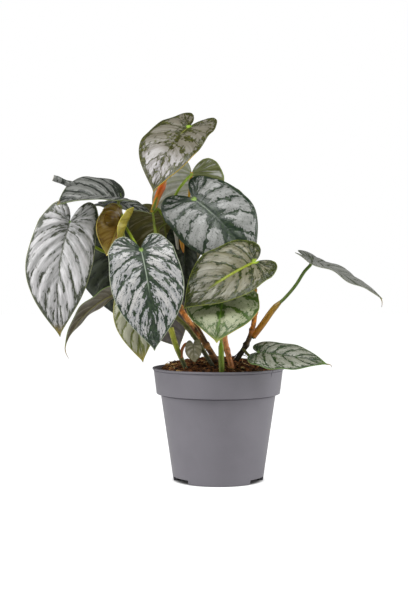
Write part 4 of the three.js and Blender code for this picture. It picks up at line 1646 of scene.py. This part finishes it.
@dataclass
class Studio:
    """A plain pale floor under soft lights, and the camera at the photograph's place. Sizes of
    the floor and the lights are in metres. The floor's glow fades out under the pot's foot, which
    paints a shadow there, and is weaker for what it lights than for the camera, as the
    surroundings are. Each light has its name, place, width and height, and power in watts."""

    floor_size: float = 9.0
    sky: float = 0.16
    shown: float = 1.0
    white: str = "ffffff"
    paper: str = "a0a0a0"
    paper_roughness: float = 0.9
    floor_glow: float = 0.97
    floor_light: float = 0.45
    shade_radius: float = 43.0
    shade_edges: tuple[float, float] = (0.86, 1.04)
    aim: Point = (-0.01, 0.0, 0.17)
    near_clip: float = 0.05
    far_clip: float = 30.0
    lights: tuple[tuple[str, Point, tuple[float, float], float], ...] = (
        ("softbox_left", (-1.25, -0.4, 0.75), (0.7, 1.1), 12.5),
        ("softbox_right", (1.25, -0.3, 0.7), (0.7, 1.1), 11.0),
        ("softbox_top", (-0.1, -0.7, 1.35), (0.7, 0.7), 11.0),
    )

    def build(self) -> None:
        """Makes the floor, the lights, the surroundings and the camera."""
        self.floor()
        for name, place, size, power in self.lights:
            self.light(name, place, size, power)
        self.surroundings()
        self.camera()

    def floor(self) -> None:
        """Lays the floor, which is stage and not part of the plant."""
        half = self.floor_size / 2
        corners = [(-half, -half, 0.0), (half, -half, 0.0), (half, half, 0.0), (-half, half, 0.0)]
        mesh = bpy.data.meshes.new("studio_floor")
        mesh.from_pydata(corners, [], [(0, 1, 2, 3)])
        sheet = Sheet("floor_paper")
        sheet.shader.inputs["Emission Color"].default_value = colour(self.white)
        far = sheet.node("VectorMath", {0: sheet.place()}, operation="LENGTH").outputs["Value"]
        # no glow within the pot's foot: a painted shadow under the pot
        low, high = (self.shade_radius * MM * edge for edge in self.shade_edges)
        glow = sheet.step(far, low, high, 0.0, self.floor_glow)
        seen = sheet.node("LightPath", {}).outputs["Is Camera Ray"]
        share = sheet.scaled(seen, 1 - self.floor_light, self.floor_light)
        sheet.feed(sheet.shader.inputs["Emission Strength"], sheet.times(glow, share))
        mesh.materials.append(sheet.skin(self.paper, self.paper_roughness, 0.0))
        put("studio_floor", mesh)

    def light(self, name: str, place: Point, size: tuple[float, float], power: float) -> None:
        """Hangs one soft light that looks at the plant.

        Args:
            name: The light's name.
            place: Where it hangs, in metres.
            size: Its width and height, in metres.
            power: Its power in watts.
        """
        lamp = bpy.data.lights.new(name, "AREA")
        lamp.shape = "RECTANGLE"
        lamp.size, lamp.size_y = size
        lamp.energy = power
        holder = put(name, lamp)
        holder.location = place
        aim = Vector(self.aim) - Vector(place)
        holder.rotation_euler = aim.to_track_quat("-Z", "Y").to_euler()

    def surroundings(self) -> None:
        """Makes white surroundings that show brighter than they light the plant."""
        world = bpy.data.worlds.new("studio")
        bpy.context.scene.world = world
        world.use_nodes = True
        nodes, links = world.node_tree.nodes, world.node_tree.links
        shine, shown = nodes["Background"], nodes.new("ShaderNodeBackground")
        both = nodes.new("ShaderNodeMixShader")
        for place, node, strength in ((1, shine, self.sky), (2, shown, self.shown)):
            node.inputs["Color"].default_value = colour(self.white)
            node.inputs["Strength"].default_value = strength
            links.new(node.outputs[0], both.inputs[place])
        path = nodes.new("ShaderNodeLightPath")
        links.new(path.outputs["Is Camera Ray"], both.inputs[0])
        links.new(both.outputs[0], nodes["World Output"].inputs["Surface"])
        bpy.context.scene.view_settings.view_transform = "Standard"

    def camera(self) -> None:
        """Sets up the camera of the photograph."""
        data = bpy.data.cameras.new("photo_camera")
        data.sensor_width = SENSOR
        data.lens = SENSOR * FOCAL_PIXELS / PICTURE_HEIGHT
        data.clip_start = self.near_clip
        data.clip_end = self.far_clip
        holder = put("photo_camera", data)
        holder.location = Vector(CAMERA_PLACE) * MM
        holder.rotation_euler = (math.radians(90 - CAMERA_PITCH), 0.0, 0.0)
        bpy.context.scene.camera = holder


# its far colour is a painted highlight on the blade towards the tip
SILVER_OLIVE = BladeFinish(
    silver="7d7868", shade="6a6556", green="4c4e08", deep="343604", rib="7f8430", rim="5c5c1c",
    joint="a4c83a", far="c4c0c2", rib_reach=0.2, other_rim="c8a838", joint_size=3.6, tip="8a8440",
    band=3.8, band_taper=1.45, band_fringe=5.4, line=0.3, vein_band=-0.2, margin_band=3.8,
    fleck=2.8, blotches=0.4, specks=0.2, pleats=2.2, slim=1.6, slender=5.0, gloss=0.21)
SILVER_BRIGHT = BladeFinish(
    silver="c8c6c3", shade="94979a", green="33462c", deep="1c2e1c", rib="93a08c", rim="a9b294",
    joint="8cae4a", rib_reach=0.5, tip="3d4d24", band=4.4, band_taper=0.1, band_fringe=4.0,
    line=0.7, vein_band=0.8, between_band=-0.9, fray=3.0, fleck=4.4, blotches=0.2, slim=2.6,
    slender=4.0, gloss=0.32)
SILVER_LILAC = BladeFinish(
    silver="d6d4d5", shade="929390", green="5c6050", deep="3c4232", rib="7c8072", rim="8a9060",
    joint="7fa838", joint_size=1.6, tip="9a8420", tip_reach=0.86, band=0.2, vein_band=-0.1,
    between_band=-1.8, margin_band=2.6, fray=2.9, fleck=1.8, blotches=0.16, specks=0.1, streaks=0.7,
    pleats=1.3, slim=2.2, slender=4.0, shine=4.0, gloss=0.27)
SILVER_BLUE = BladeFinish(
    silver="a0a19e", shade="7c7f7a", green="2c3f22", deep="162a18", rib="4c6040", rim="36461f",
    joint="97bb4c", rib_reach=0.35, joint_size=3.2, tip="5f7038", band=6.6, band_taper=-0.8,
    band_fringe=6.8, line=0.9, vein_band=0.25, margin_band=3.0, fray=2.6, fleck=3.4, blotches=0.26,
    streaks=0.4, pleats=0.9, slim=2.0, slender=6.0, wobble=0.75)
# its far colour is a painted highlight on the blade towards the tip, and its dark shade with strong
# streaks paints shade into the fold valleys
SILVER_TAUPE = BladeFinish(
    silver="87846a", shade="5c5a40", green="434b08", deep="2a3406", rib="93a01e", rim="8a9440",
    joint="b4d040", far="a2a192", rib_width=1.3, rib_reach=0.72, joint_size=4.0, tip="4a5010",
    band=1.6, band_fringe=3.6, line=0.7, between_band=-1.8, margin_band=5.0, fleck=3.0,
    blotches=0.3, specks=0.25, streaks=0.9, pleats=2.6, slim=1.8, slender=5.0, gloss=0.19)
SILVER_PALE = BladeFinish(
    silver="a2a884", shade="8b9270", green="4a6412", deep="38540c", rib="5c8020", rim="b0a850",
    joint="86b03c", rib_width=0.8, rib_reach=0.9, tip="96a03c", tip_reach=0.88, band_taper=0.1,
    band_fringe=3.2, line=0.9, vein_band=0.6, between_band=-2.4, margin_band=3.0, fray=4.4,
    fleck=4.0, blotches=0.2, streaks=0.3, pleats=0.5, slim=2.0, slender=6.0, gloss=0.4, coat=0.1,
    wobble=0.6)
SILVER_MILKY = BladeFinish(
    silver="b4b49c", shade="969678", green="747a3c", deep="5e6628", rib="7d8844", rim="b0a850",
    joint="86b03c", rib_width=0.6, rib_reach=0.9, tip="b0a040", tip_reach=0.8, band=0.8,
    band_fringe=1.6, line=0.8, between_band=-2.4, fray=2.0, specks=0.1, gloss=0.34)
SILVER_NET = BladeFinish(
    silver="a4a698", shade="7f836e", green="42582c", deep="243a1a", rib="5a7040", rim="6f8d45",
    joint="6a8a3c", tip="76993c", tip_reach=0.85, band=1.4, band_fringe=3.0, line=0.6,
    vein_band=0.4, between_band=-1.6, margin_band=1.6, fray=2.8, fleck=3.2, blotches=0.28,
    specks=0.4, pleats=2.0, slim=2.0, slender=5.5, gloss=0.28, wobble=0.6)
GREY_STRIPED = BladeFinish(
    silver="888985", shade="565952", green="2e362a", deep="161d14", rib="5a6050", rim="7c8460",
    joint="6a8040", tip="a08a3c", tip_reach=0.9, band=1.0, band_fringe=1.6, line=1.4, vein_band=0.9,
    between_band=-0.6, margin_band=0.8, fray=1.8, blotches=0.16, specks=0.2, streaks=0.9,
    pleats=1.4, gloss=0.26)
GREY_SMOOTH = BladeFinish(
    silver="8f908a", shade="6a6c64", green="4c543c", deep="363e28", rib="6a7058", rim="8c9078",
    joint="6a8040", tip="8a8a50", band=0.4, line=0.5, vein_band=0.2, margin_band=0.4, fray=1.4,
    fleck=1.2, specks=0.1, streaks=0.7)
SHADED = BladeFinish(
    silver="3c4430", shade="2c3422", green="1e2a14", deep="10180a", rib="3a4a20", rim="2c3c16",
    joint="6a8040", band=2.4, band_fringe=3.0, vein_band=1.0, between_band=-0.4, margin_band=1.6,
    fray=3.4, fleck=2.6, blotches=0.5, specks=0.5, gloss=0.45, coat=0.05)
GOLDEN = BladeFinish(
    silver="a88c3c", shade="7a5a16", green="8a7a14", deep="6a4a0c", rib="b8a23c", rim="c8b03c",
    joint="9ab83a", rib_width=0.8, rib_reach=0.9, tip="c0b064", tip_reach=0.7, band=0.6,
    band_fringe=1.0, vein_band=-1.6, between_band=-2.4, margin_band=1.8, fray=1.4, fleck=0.6,
    specks=0.0, streaks=0.4, pleats=0.4, gloss=0.12, coat=1.0)
PALE_BACK = UnderFinish(
    base="7f8860", streak="b0b2a4", vein="8f9a62", rib="c09a30", rim="a8ac4c", rib_width=1.3,
    share=0.6, gloss=0.4)
SILKY_BACK = UnderFinish(
    base="858c58", streak="eeeee8", vein="9aa074", rib="d8a428", rim="8a9a48", other_base="c2c2b2",
    rib_width=1.7, share=0.62, gloss=0.26)
DARK_BACK = UnderFinish(
    base="6a6434", streak="a8a280", vein="6f7040", rib="7c8438", rim="5c6a34", gloss=0.28)
TAUPE_BACK = UnderFinish(
    base="68604a", streak="80785c", vein="746e4a", rib="8a8648", rim="b0a65c", gloss=0.4)
PLUM_BACK = UnderFinish(
    base="6e6866", streak="86807e", vein="74705c", rib="84864c", rim="7c8048")
GREEN_BACK = UnderFinish(
    base="4f5f30", streak="6c7a48", vein="6a8038", rib="8aa03c", rim="6f8a3c", share=0.3)
LIME_BACK = UnderFinish(
    base="9c8e2c", streak="c4ba58", vein="746c1c", rib="b8c040", rim="c2c054", share=0.4, gloss=0.3)
SMOKY = UnderFinish(
    base="969074", streak="cac4b0", vein="6c6a50", rib="7c785a", rim="66643f", share=0.6,
    gloss=0.34)

BLADES = (
    Blade("crown", (-26.5, 2, 322), (-57.5, -42, 258.5), (-0.1, -0.8, 0.6), 62, 0.26, 38, 6, -14,
          SILVER_OLIVE, GREEN_BACK, lift=6, wave=1.2, bow=-4, width_plus=0.84, width_minus=0.93,
          quilt=1.3, crowding=1.6, rib_veins=6, trim=0.992, seed=3.1),
    Blade("behind_crown", (-24.5, 27, 282.5), (-33.5, 28, 203), (0, 1, 0.15), 68, 0.19, 16, 4, -14,
          SILVER_BLUE, SILKY_BACK, lift=4, seed=4.7),
    Blade("upper_right", (-22, -18, 255), (31, -32, 195), (0.14, -1, 0.28), 66, 0.22, 30, 4, -20,
          SILVER_BLUE, PALE_BACK, lift=8, width_plus=1.1, width_minus=1.14, bow=3,
          crowding=1.5, rib_veins=6, seed=6.2),
    Blade("right", (31.5, -52, 198.5), (-31, -74, 158), (0.15, -0.8, 0.75), 60, 0.18, 30, 10, -18,
          SILVER_TAUPE, PALE_BACK, lift=6, width_plus=0.84, width_minus=1.06, crowding=2.2,
          rib_veins=6, quilt=1.5, seed=8.8),
    Blade("front_low", (6, -46, 174), (-2.5, -88, 129.5), (-0.06, -0.62, 0.8), 64, 0.18, 40, 4, -22,
          SILVER_PALE, GREEN_BACK, lift=6, crowding=1.3, rib_veins=4, fan_veins=2, quilt=0.8,
          seed=10.4),
    Blade("over_rim", (34, -46, 119.5), (94, -62, 110), (0.08, -0.5, 0.8), 46, 0.1, 14, 10, -20,
          SILVER_NET, GREEN_BACK, width_plus=0.76, seed=12.9),
    Blade("far_right", (84, -6, 201.5), (148, -14, 165.5), (0.38, -0.16, 0.9), 62, 0.2, 12, 6, -10,
          GREY_SMOOTH, TAUPE_BACK, wave=1.8, waves=2, phase=3, seed=14.3),
    Blade("front", (-66.5, -72, 208.5), (-54.5, -86, 122.5), (0.06, -1, 0.16), 63, 0.15, 26, 8, -16,
          SILVER_BRIGHT, PALE_BACK, lift=22, width_plus=0.97, bow=2, quilt=0.8, crowding=2.2,
          seed=16.6),
    Blade("left", (-131, -36, 234), (-139, -44, 132), (-0.1, -1, 0.15), 68, 0.18, 24, 10, -20,
          SILVER_LILAC, PALE_BACK, lift=14, wave=1.2, bow=-5, width_plus=0.86, width_minus=0.9,
          quilt=1.8, crowding=2.7, rib_veins=8, seed=18.5),
    Blade("upper_left", (-86, -34, 253), (-141, -54, 247.5), (-0.06, -0.4, 0.9), 62, 0.1, 34, 24,
          -18, GREY_STRIPED, GREEN_BACK, wave=0.4, bow=2, width_minus=1.2, quilt=1.3,
          crowding=2.6, seed=20.1),
    Blade("edge_on", (-104, 0, 252.5), (-59.5, -16, 241.5), (0.16, -0.32, 0.93), 36, 0.2, 34, 4,
          -12, GREY_STRIPED, DARK_BACK, seed=22.8),
    Blade("young", (-84.5, -42, 238.5), (-98, -50, 203.5), (0.18, -1, 0.15), 56, 0.2, 10, 30, 128,
          GOLDEN, LIME_BACK, fold_minus=0.25, width_minus=0.72, quilt=0.3, dimple=3.2, seed=24.4),
    Blade("inner", (-51, 13, 245), (-42.5, 13, 171.5), (0.1, 1, 0.3), 72, 0.13, 20, 4, -16,
          SILVER_BLUE, DARK_BACK, seed=26.3),
    Blade("shade_left", (-96.5, 7, 221), (-90, 16, 145.5), (-0.1, -1, 0.15), 70, 0.22, 20, 4, -16,
          SHADED, DARK_BACK, width_plus=0.55, seed=28.7),
    Blade("low_left", (-92, -19, 171), (-136.5, -31, 124), (-0.7, 0.16, 0.6), 50, 0.2, 50, 8, -10,
          SILVER_NET, TAUPE_BACK, seed=30.2),
    Blade("low_front", (-69.5, -47, 179), (-65.5, -60, 111), (-0.1, -1, 0.3), 44, 0.2, 24, 6, -16,
          SILVER_MILKY, TAUPE_BACK, bow=-2, width_plus=0.85, seed=32.6),
    Blade("low_inner", (-58, 3, 168), (-35, 6, 120), (-0.3, 0.9, 0.35), 46, 0.22, 16, 6, -10,
          SILVER_NET, PLUM_BACK, seed=34.9),
    Blade("small", (-22.5, -42, 126.5), (-21, -46, 110), (-0.1, -1, 0.3), 15, 0.22, 30, 10, -20,
          SMOKY, GREEN_BACK, quilt=0.3, rib_veins=5, seed=36.1),
    Blade("shade_right", (-31, -3, 219), (-30, -6, 160.5), (0.1, -1, 0.3), 38, 0.22, 16, 6, -16,
          SHADED, DARK_BACK, width_plus=0.6, seed=38.4),
    Blade("back_right", (4.5, 66, 259.5), (11.5, 92, 200), (0.15, 1, 0.35), 54, 0.2, 26, 6, -16,
          SILVER_BLUE, PALE_BACK, seed=40.8),
    Blade("back_middle", (-64.5, 56, 238), (-76, 84, 172.5), (-0.1, 1, 0.35), 62, 0.2, 26, 6, -16,
          SILVER_BRIGHT, PALE_BACK, seed=42.5),
    Blade("back_low", (12, 48, 199.5), (4.5, 72, 141.5), (0.1, 1, 0.35), 50, 0.2, 26, 6, -16,
          SILVER_LILAC, PALE_BACK, seed=44.7),
    Blade("back_left", (-118.5, 34, 223.5), (-145, 52, 170.5), (-0.3, 1, 0.35), 54, 0.2, 22, 6, -16,
          SILVER_NET, PALE_BACK, seed=46.2),
    Blade("back_top", (-52, 50, 306), (-44, 72, 258), (0.05, 1, 0.35), 36, 0.18, 26, 6, -16,
          SILVER_BLUE, PALE_BACK, seed=48.6),
)

STEMS = (
    Stem("stem_middle", (
        Shaft(((-1.5, -24, 110), (-11, -22, 124.5), (-21, -18, 137.5), (-34.5, -15, 157.5),
               (-47, -18, 187), (-55.5, -13, 218.5), (-59.5, -4, 244)), 2.6, Tone.MIDDLE,
              swelling=0.34, end=0.34, ease=2.5, wings=0.14, mottle=0.8),
        Shaft(((-9.5, -23.5, 124.5), (-16, -23.5, 136.5), (-24.5, -20.5, 149)), 1.1, Tone.HUSK,
              wings=0.4, pointed=0.25),
        Shaft(((-35, 3, 230), (-34, -4.5, 221), (-31.5, -8, 207)), 1.3, Tone.BRACT, wide=1.4,
              pointed=0.25),
        Shaft(((-42, 1, 235.5), (-38.5, -5, 223), (-36, -6, 206)), 1.0, Tone.PAPER, wide=1.5,
              pointed=0.25),
        Shaft(((-59.5, -4, 245), (-55, 4, 259), (-49, 12, 273.5), (-40.5, 15, 295),
               (-32.5, 16, 313.5)), 1.6, Tone.LIME, leaf="crown"),
        Shaft(((-59.5, -4, 244), (-55, 4, 259), (-48, 11, 275)), 1.3, Tone.ORANGE, wide=1.7,
              end=1.7, pointed=0.25),
        Shaft(((-59.5, -4, 242.5), (-55.5, -3, 247)), 1.3, Tone.LIME, leaf="inner"),
        Shaft(((-42.5, -17, 176), (-53, -10, 175.5)), 1.2, Tone.OLIVE, leaf="low_inner"),
        Shaft(((-55.5, -13, 218.5), (-53, -3, 230.5), (-42, 1, 235.5), (-35, 3, 230)), 1.2,
              Tone.OLIVE, leaf="shade_right"),
    ), roots=(((-14, -22, 125.5), (-14.8, -27, 119)), ((-10.5, -22, 122.5), (-11, -28, 116.5)),
              ((-21.9, -19, 137.5), (-19, -24, 133)), ((-12, -22, 122), (-17, -26, 120.5)))),
    Stem("stem_right", (
        Shaft(((11, -38, 107), (7.5, -34, 120.5), (5, -30, 133), (3, -20, 155.5), (2.5, -2, 182.5),
               (0.5, 6, 210), (-5.5, 4, 232.5)), 2.6, Tone.RIGHT,
              swelling=0.16, end=0.8, mottle=0.45),
        Shaft(((2.5, -4, 178), (17.5, -20, 179), (27.5, -38, 186)), 1.4, Tone.LIME, leaf="right"),
        Shaft(((-5, 4, 230), (-14, 2, 248)), 1.4, Tone.LIME, leaf="upper_right"),
        Shaft(((-3, 4, 222.5), (-24, 2, 235.5), (-41, 0, 250), (-37.5, 2, 262.5), (-29.5, 8, 274)),
              1.3, Tone.LIME, leaf="behind_crown"),
        Shaft(((2.5, 2, 189.5), (11.5, 30, 195.5)), 1.3, Tone.LIME, leaf="back_low"),
    ), roots=(((7.5, -34, 120), (11, -40, 115)),)),
    Stem("stem_back", (
        Shaft(((16, -12, 109.5), (25, -14, 124), (30.5, -13, 137.5), (33, -12, 153.5),
               (32.5, -4, 173.5), (26.5, 8, 199), (20.5, 28, 219.5)), 2.4, Tone.BACK,
              swelling=0.34, end=0.85, mottle=0.7),
        Shaft(((30.5, -14, 130), (39.5, -12, 142), (50.5, -10, 157), (60.5, -8, 166.5),
               (70, -6, 177.5), (78, -6, 190)), 1.5, Tone.GREEN_STALK, leaf="far_right"),
        Shaft(((31, -14, 131), (39.5, -12, 142), (50.5, -10, 157), (60.5, -8, 166.5)), 2.2,
              Tone.BROWN_SHEATH, wide=1.25, belly=0.15, end=0.8, pointed=0.25),
        Shaft(((22, -14, 120.5), (28, -30, 115)), 1.3, Tone.OLIVE, leaf="over_rim"),
        Shaft(((20.5, 28, 219), (8, 42, 240), (-17, 44, 262), (-38, 46, 281)), 1.3, Tone.LIME,
              leaf="back_top"),
        Shaft(((23, 20, 210), (15.5, 44, 233.5), (6, 56, 251)), 1.3, Tone.LIME, leaf="back_right"),
        Shaft(((21.5, 26, 217), (-2.5, 36, 223.5), (-31, 44, 228), (-55, 46, 231.5)), 1.3,
              Tone.LIME, leaf="back_middle"),
    ), roots=(((25, -14, 125), (21, -21, 121)), ((22, -14, 119.5), (15.5, -20, 115)),
              ((24, -14, 122.5), (24, -21, 115.5)), ((20, -13, 117), (27, -17, 112.5)),
              ((27, -14, 128.5), (22.5, -18, 126)), ((19.5, -13, 115.5), (13, -16, 114)))),
    Stem("stem_left", (
        Shaft(((-8.5, -33, 111.5), (-18.5, -31, 127.5), (-28, -30, 140.5), (-39.5, -30, 151.5),
               (-52, -30, 166.5), (-68, -26, 187), (-81, -22, 209.5), (-86.5, -24, 229),
               (-87, -26, 243)), 1.85, Tone.LEFT, swelling=0.18, wings=0.25, end=0.8, mottle=0.3),
        Shaft(((-86.5, -24, 229), (-85, -34, 233.5), (-79.5, -44, 225.5)), 1.3, Tone.LIME,
              leaf="front"),
        Shaft(((-81.5, -22, 210), (-94.5, -20, 206), (-106, -18, 209.5), (-119.5, -20, 218.5)), 1.4,
              Tone.LIME, leaf="left"),
        Shaft(((-87, -26, 243), (-87, -28, 247.5)), 1.4, Tone.OLIVE, leaf="upper_left"),
        Shaft(((-87, -26, 242), (-97.5, -16, 242.5), (-103.5, -8, 245.5)), 1.2, Tone.OLIVE,
              leaf="edge_on"),
        Shaft(((-87, -26, 237.5), (-85.5, -32, 241)), 1.1, Tone.LIME, leaf="young"),
        Shaft(((-86.5, -24, 229), (-92, -6, 241), (-96, 10, 238)), 1.3, Tone.OLIVE,
              leaf="shade_left"),
        Shaft(((-68, -26, 187), (-80, -28, 177.5)), 1.3, Tone.LIME, leaf="low_left"),
        Shaft(((-91, 0, 237.5), (-97, 17, 239), (-107, 27, 236)), 1.2, Tone.LIME, leaf="back_left"),
    ), roots=(((-18.5, -31, 127), (-15, -36, 119)), ((-28, -30, 140), (-24, -35, 133)))),
    Stem("shoot_front", (
        Shaft(((2.5, -47, 104), (2, -46, 119.5), (2, -44.6, 130.5)), 2.4, Tone.FRONT, wings=0.14,
              pointed=0.16),
        Shaft(((2.2, -46, 117), (2, -44, 132.5), (3, -38, 149), (5.5, -34, 163)), 1.3, Tone.LIME,
              leaf="front_low"),
    )),
    Stem("shoot_left", (
        Shaft(((-31.5, -36, 110), (-37, -34, 122.5), (-42.5, -32, 140)), 1.5, Tone.SHEATH_LEFT,
              wings=0.35, end=1.5, mottle=0.2),
        Shaft(((-42.5, -32, 139), (-53.5, -36, 160.5), (-64, -38, 172)), 1.5, Tone.LIME,
              leaf="low_front"),
        Shaft(((-33, -36, 113.5), (-32.5, -34, 120.5), (-29, -32, 126)), 1.5, Tone.RUSTY,
              leaf="small", end=0.7),
    )),
)

THREADS = (
    ("leaf_thread", ((-135.6, -29.6, 126), (-136.3, -30.2, 122), (-135.4, -31, 117.5),
                     (-133, -32, 113))),
    ("far_right_thread", ((145.6, -13.8, 166.9), (147.1, -14, 164.2), (147.4, -14, 161),
                          (147, -14, 158))),
    ("over_rim_hook", ((92.6, -61.8, 110.3), (94.8, -62, 110), (96.5, -62, 109.2),
                       (96.9, -62, 107.4))),
)


@dataclass
class RolledLobe:
    """Bit of a blade's margin that has rolled up into a gutter. start and sweep say where round
    the gutter its skin begins and how far it goes, narrowing how much its spiral closes, and
    flat and edge_step what the finishes read from its maps, in centimetres."""

    name: str = "rolled_lobe"
    path: tuple[Point, ...] = ((-126, -33, 264.8), (-134, -36.0, 267.6), (-140.5, -37, 270.4),
                               (-145.5, -38, 272.0))
    radii: tuple[float, float] = (3.3, 2.5)
    ripple: float = 0.12
    narrowing: float = 0.18
    start: float = -35.0
    sweep: float = 250.0
    turns: int = 20
    thickness: float = 0.45
    vein_count: float = 1.8
    flat: Point = (1.6, 0.9, 0.06)
    vein_gap: float = 0.45
    edge_step: float = 0.05
    seed: float = 51.3
    length: float = 17.0
    upper: BladeFinish = GREY_STRIPED
    under: UnderFinish = GREEN_BACK

    def build(self) -> bpy.types.Object:
        """Makes the rolled piece, which belongs to the upper left leaf.

        Returns:
            The new object.
        """
        line = curve(np.array(self.path, float), 0.7)
        angles = np.radians(self.start + np.linspace(0, self.sweep, self.turns))
        front = np.array([0.0, -1.0, 0.0])
        shares = np.arange(len(line)) / (len(line) - 1)
        places, maps = [], []
        for place, heading, share in zip(line, headings(line), shares):
            radius = self.radii[0] + (self.radii[1] - self.radii[0]) * share
            radius *= 1 + self.ripple * math.sin(share * 9)
            out = unit(front - heading * front.dot(heading))
            across = np.cross(heading, out)
            for k, angle in enumerate(angles):
                spiral = radius * (1 - self.narrowing * k / self.turns)
                places.append(place + spiral * (math.cos(angle) * across + math.sin(angle) * out))
                maps.append((share * self.vein_count, k / self.turns,
                             share * self.flat[0], self.flat[1] + self.flat[2] * k,
                             self.vein_gap, min(k, self.turns - 1 - k) * self.edge_step))
        faces = patches(len(line), self.turns)
        mesh = bpy.data.meshes.new(self.name)
        mesh.from_pydata((np.array(places) * MM).tolist(), [], faces.tolist())
        values = np.array(maps)
        for index, key in enumerate(("Veins", "Flat", "Edge")):
            add_map(mesh, key, values[:, 2 * index : 2 * index + 2])
        upper = self.upper.dress(f"{self.name}_face", self.seed, self.length)
        under = self.under.dress(f"{self.name}_back", self.seed, self.length)
        piece = link(self.name, mesh, upper, under)
        thicken(piece, self.thickness, careful=False)
        return piece


@dataclass
class Plant:
    """The blades, the stems that carry them, and the dry threads that end three of the leaves."""

    blades: tuple[Blade, ...] = BLADES
    stems: tuple[Stem, ...] = STEMS
    threads: tuple[tuple[str, tuple[Point, ...]], ...] = THREADS
    thread_radius: float = 0.55
    thread_sides: int = 7
    skin: StalkFinish = StalkFinish()

    def build(self) -> list[bpy.types.Object]:
        """Makes all blades, stems and threads.

        Returns:
            The new objects.
        """
        by_name = {blade.name: blade for blade in self.blades}
        skin = self.skin.dress("stalk_skin")
        pieces = [stem.build(by_name, skin) for stem in self.stems]
        pieces += [blade.build() for blade in self.blades]
        pieces.append(RolledLobe().build())
        return pieces + [self.thread(name, path, skin) for name, path in self.threads]

    def thread(self, name: str, path: tuple[Point, ...],
               skin: bpy.types.Material) -> bpy.types.Object:
        """Makes the dry thread that ends a leaf.

        Args:
            name: The thread's name.
            path: Points along it.
            skin: The material of stems.

        Returns:
            The new object.
        """
        tube = Tube()
        shaft = Shaft((), self.thread_radius, Tone.TIP, end=0.3)
        tube.add(shaft, np.array(path, float), self.thread_sides, 1.0)
        piece = link(name, tube.mesh(name), skin)
        return piece


def main() -> None:
    """Builds the pot, the soil, the plant and the studio."""
    logging.basicConfig(level=logging.INFO, format="%(name)s: %(message)s")
    pieces = [NurseryPot().build(), *SoilBed().build(), *Plant().build()]
    for piece in pieces:
        LOG.info("%s: %d faces", piece.name, len(piece.data.polygons))
    Studio().build()


if __name__ == "__main__":
    main()
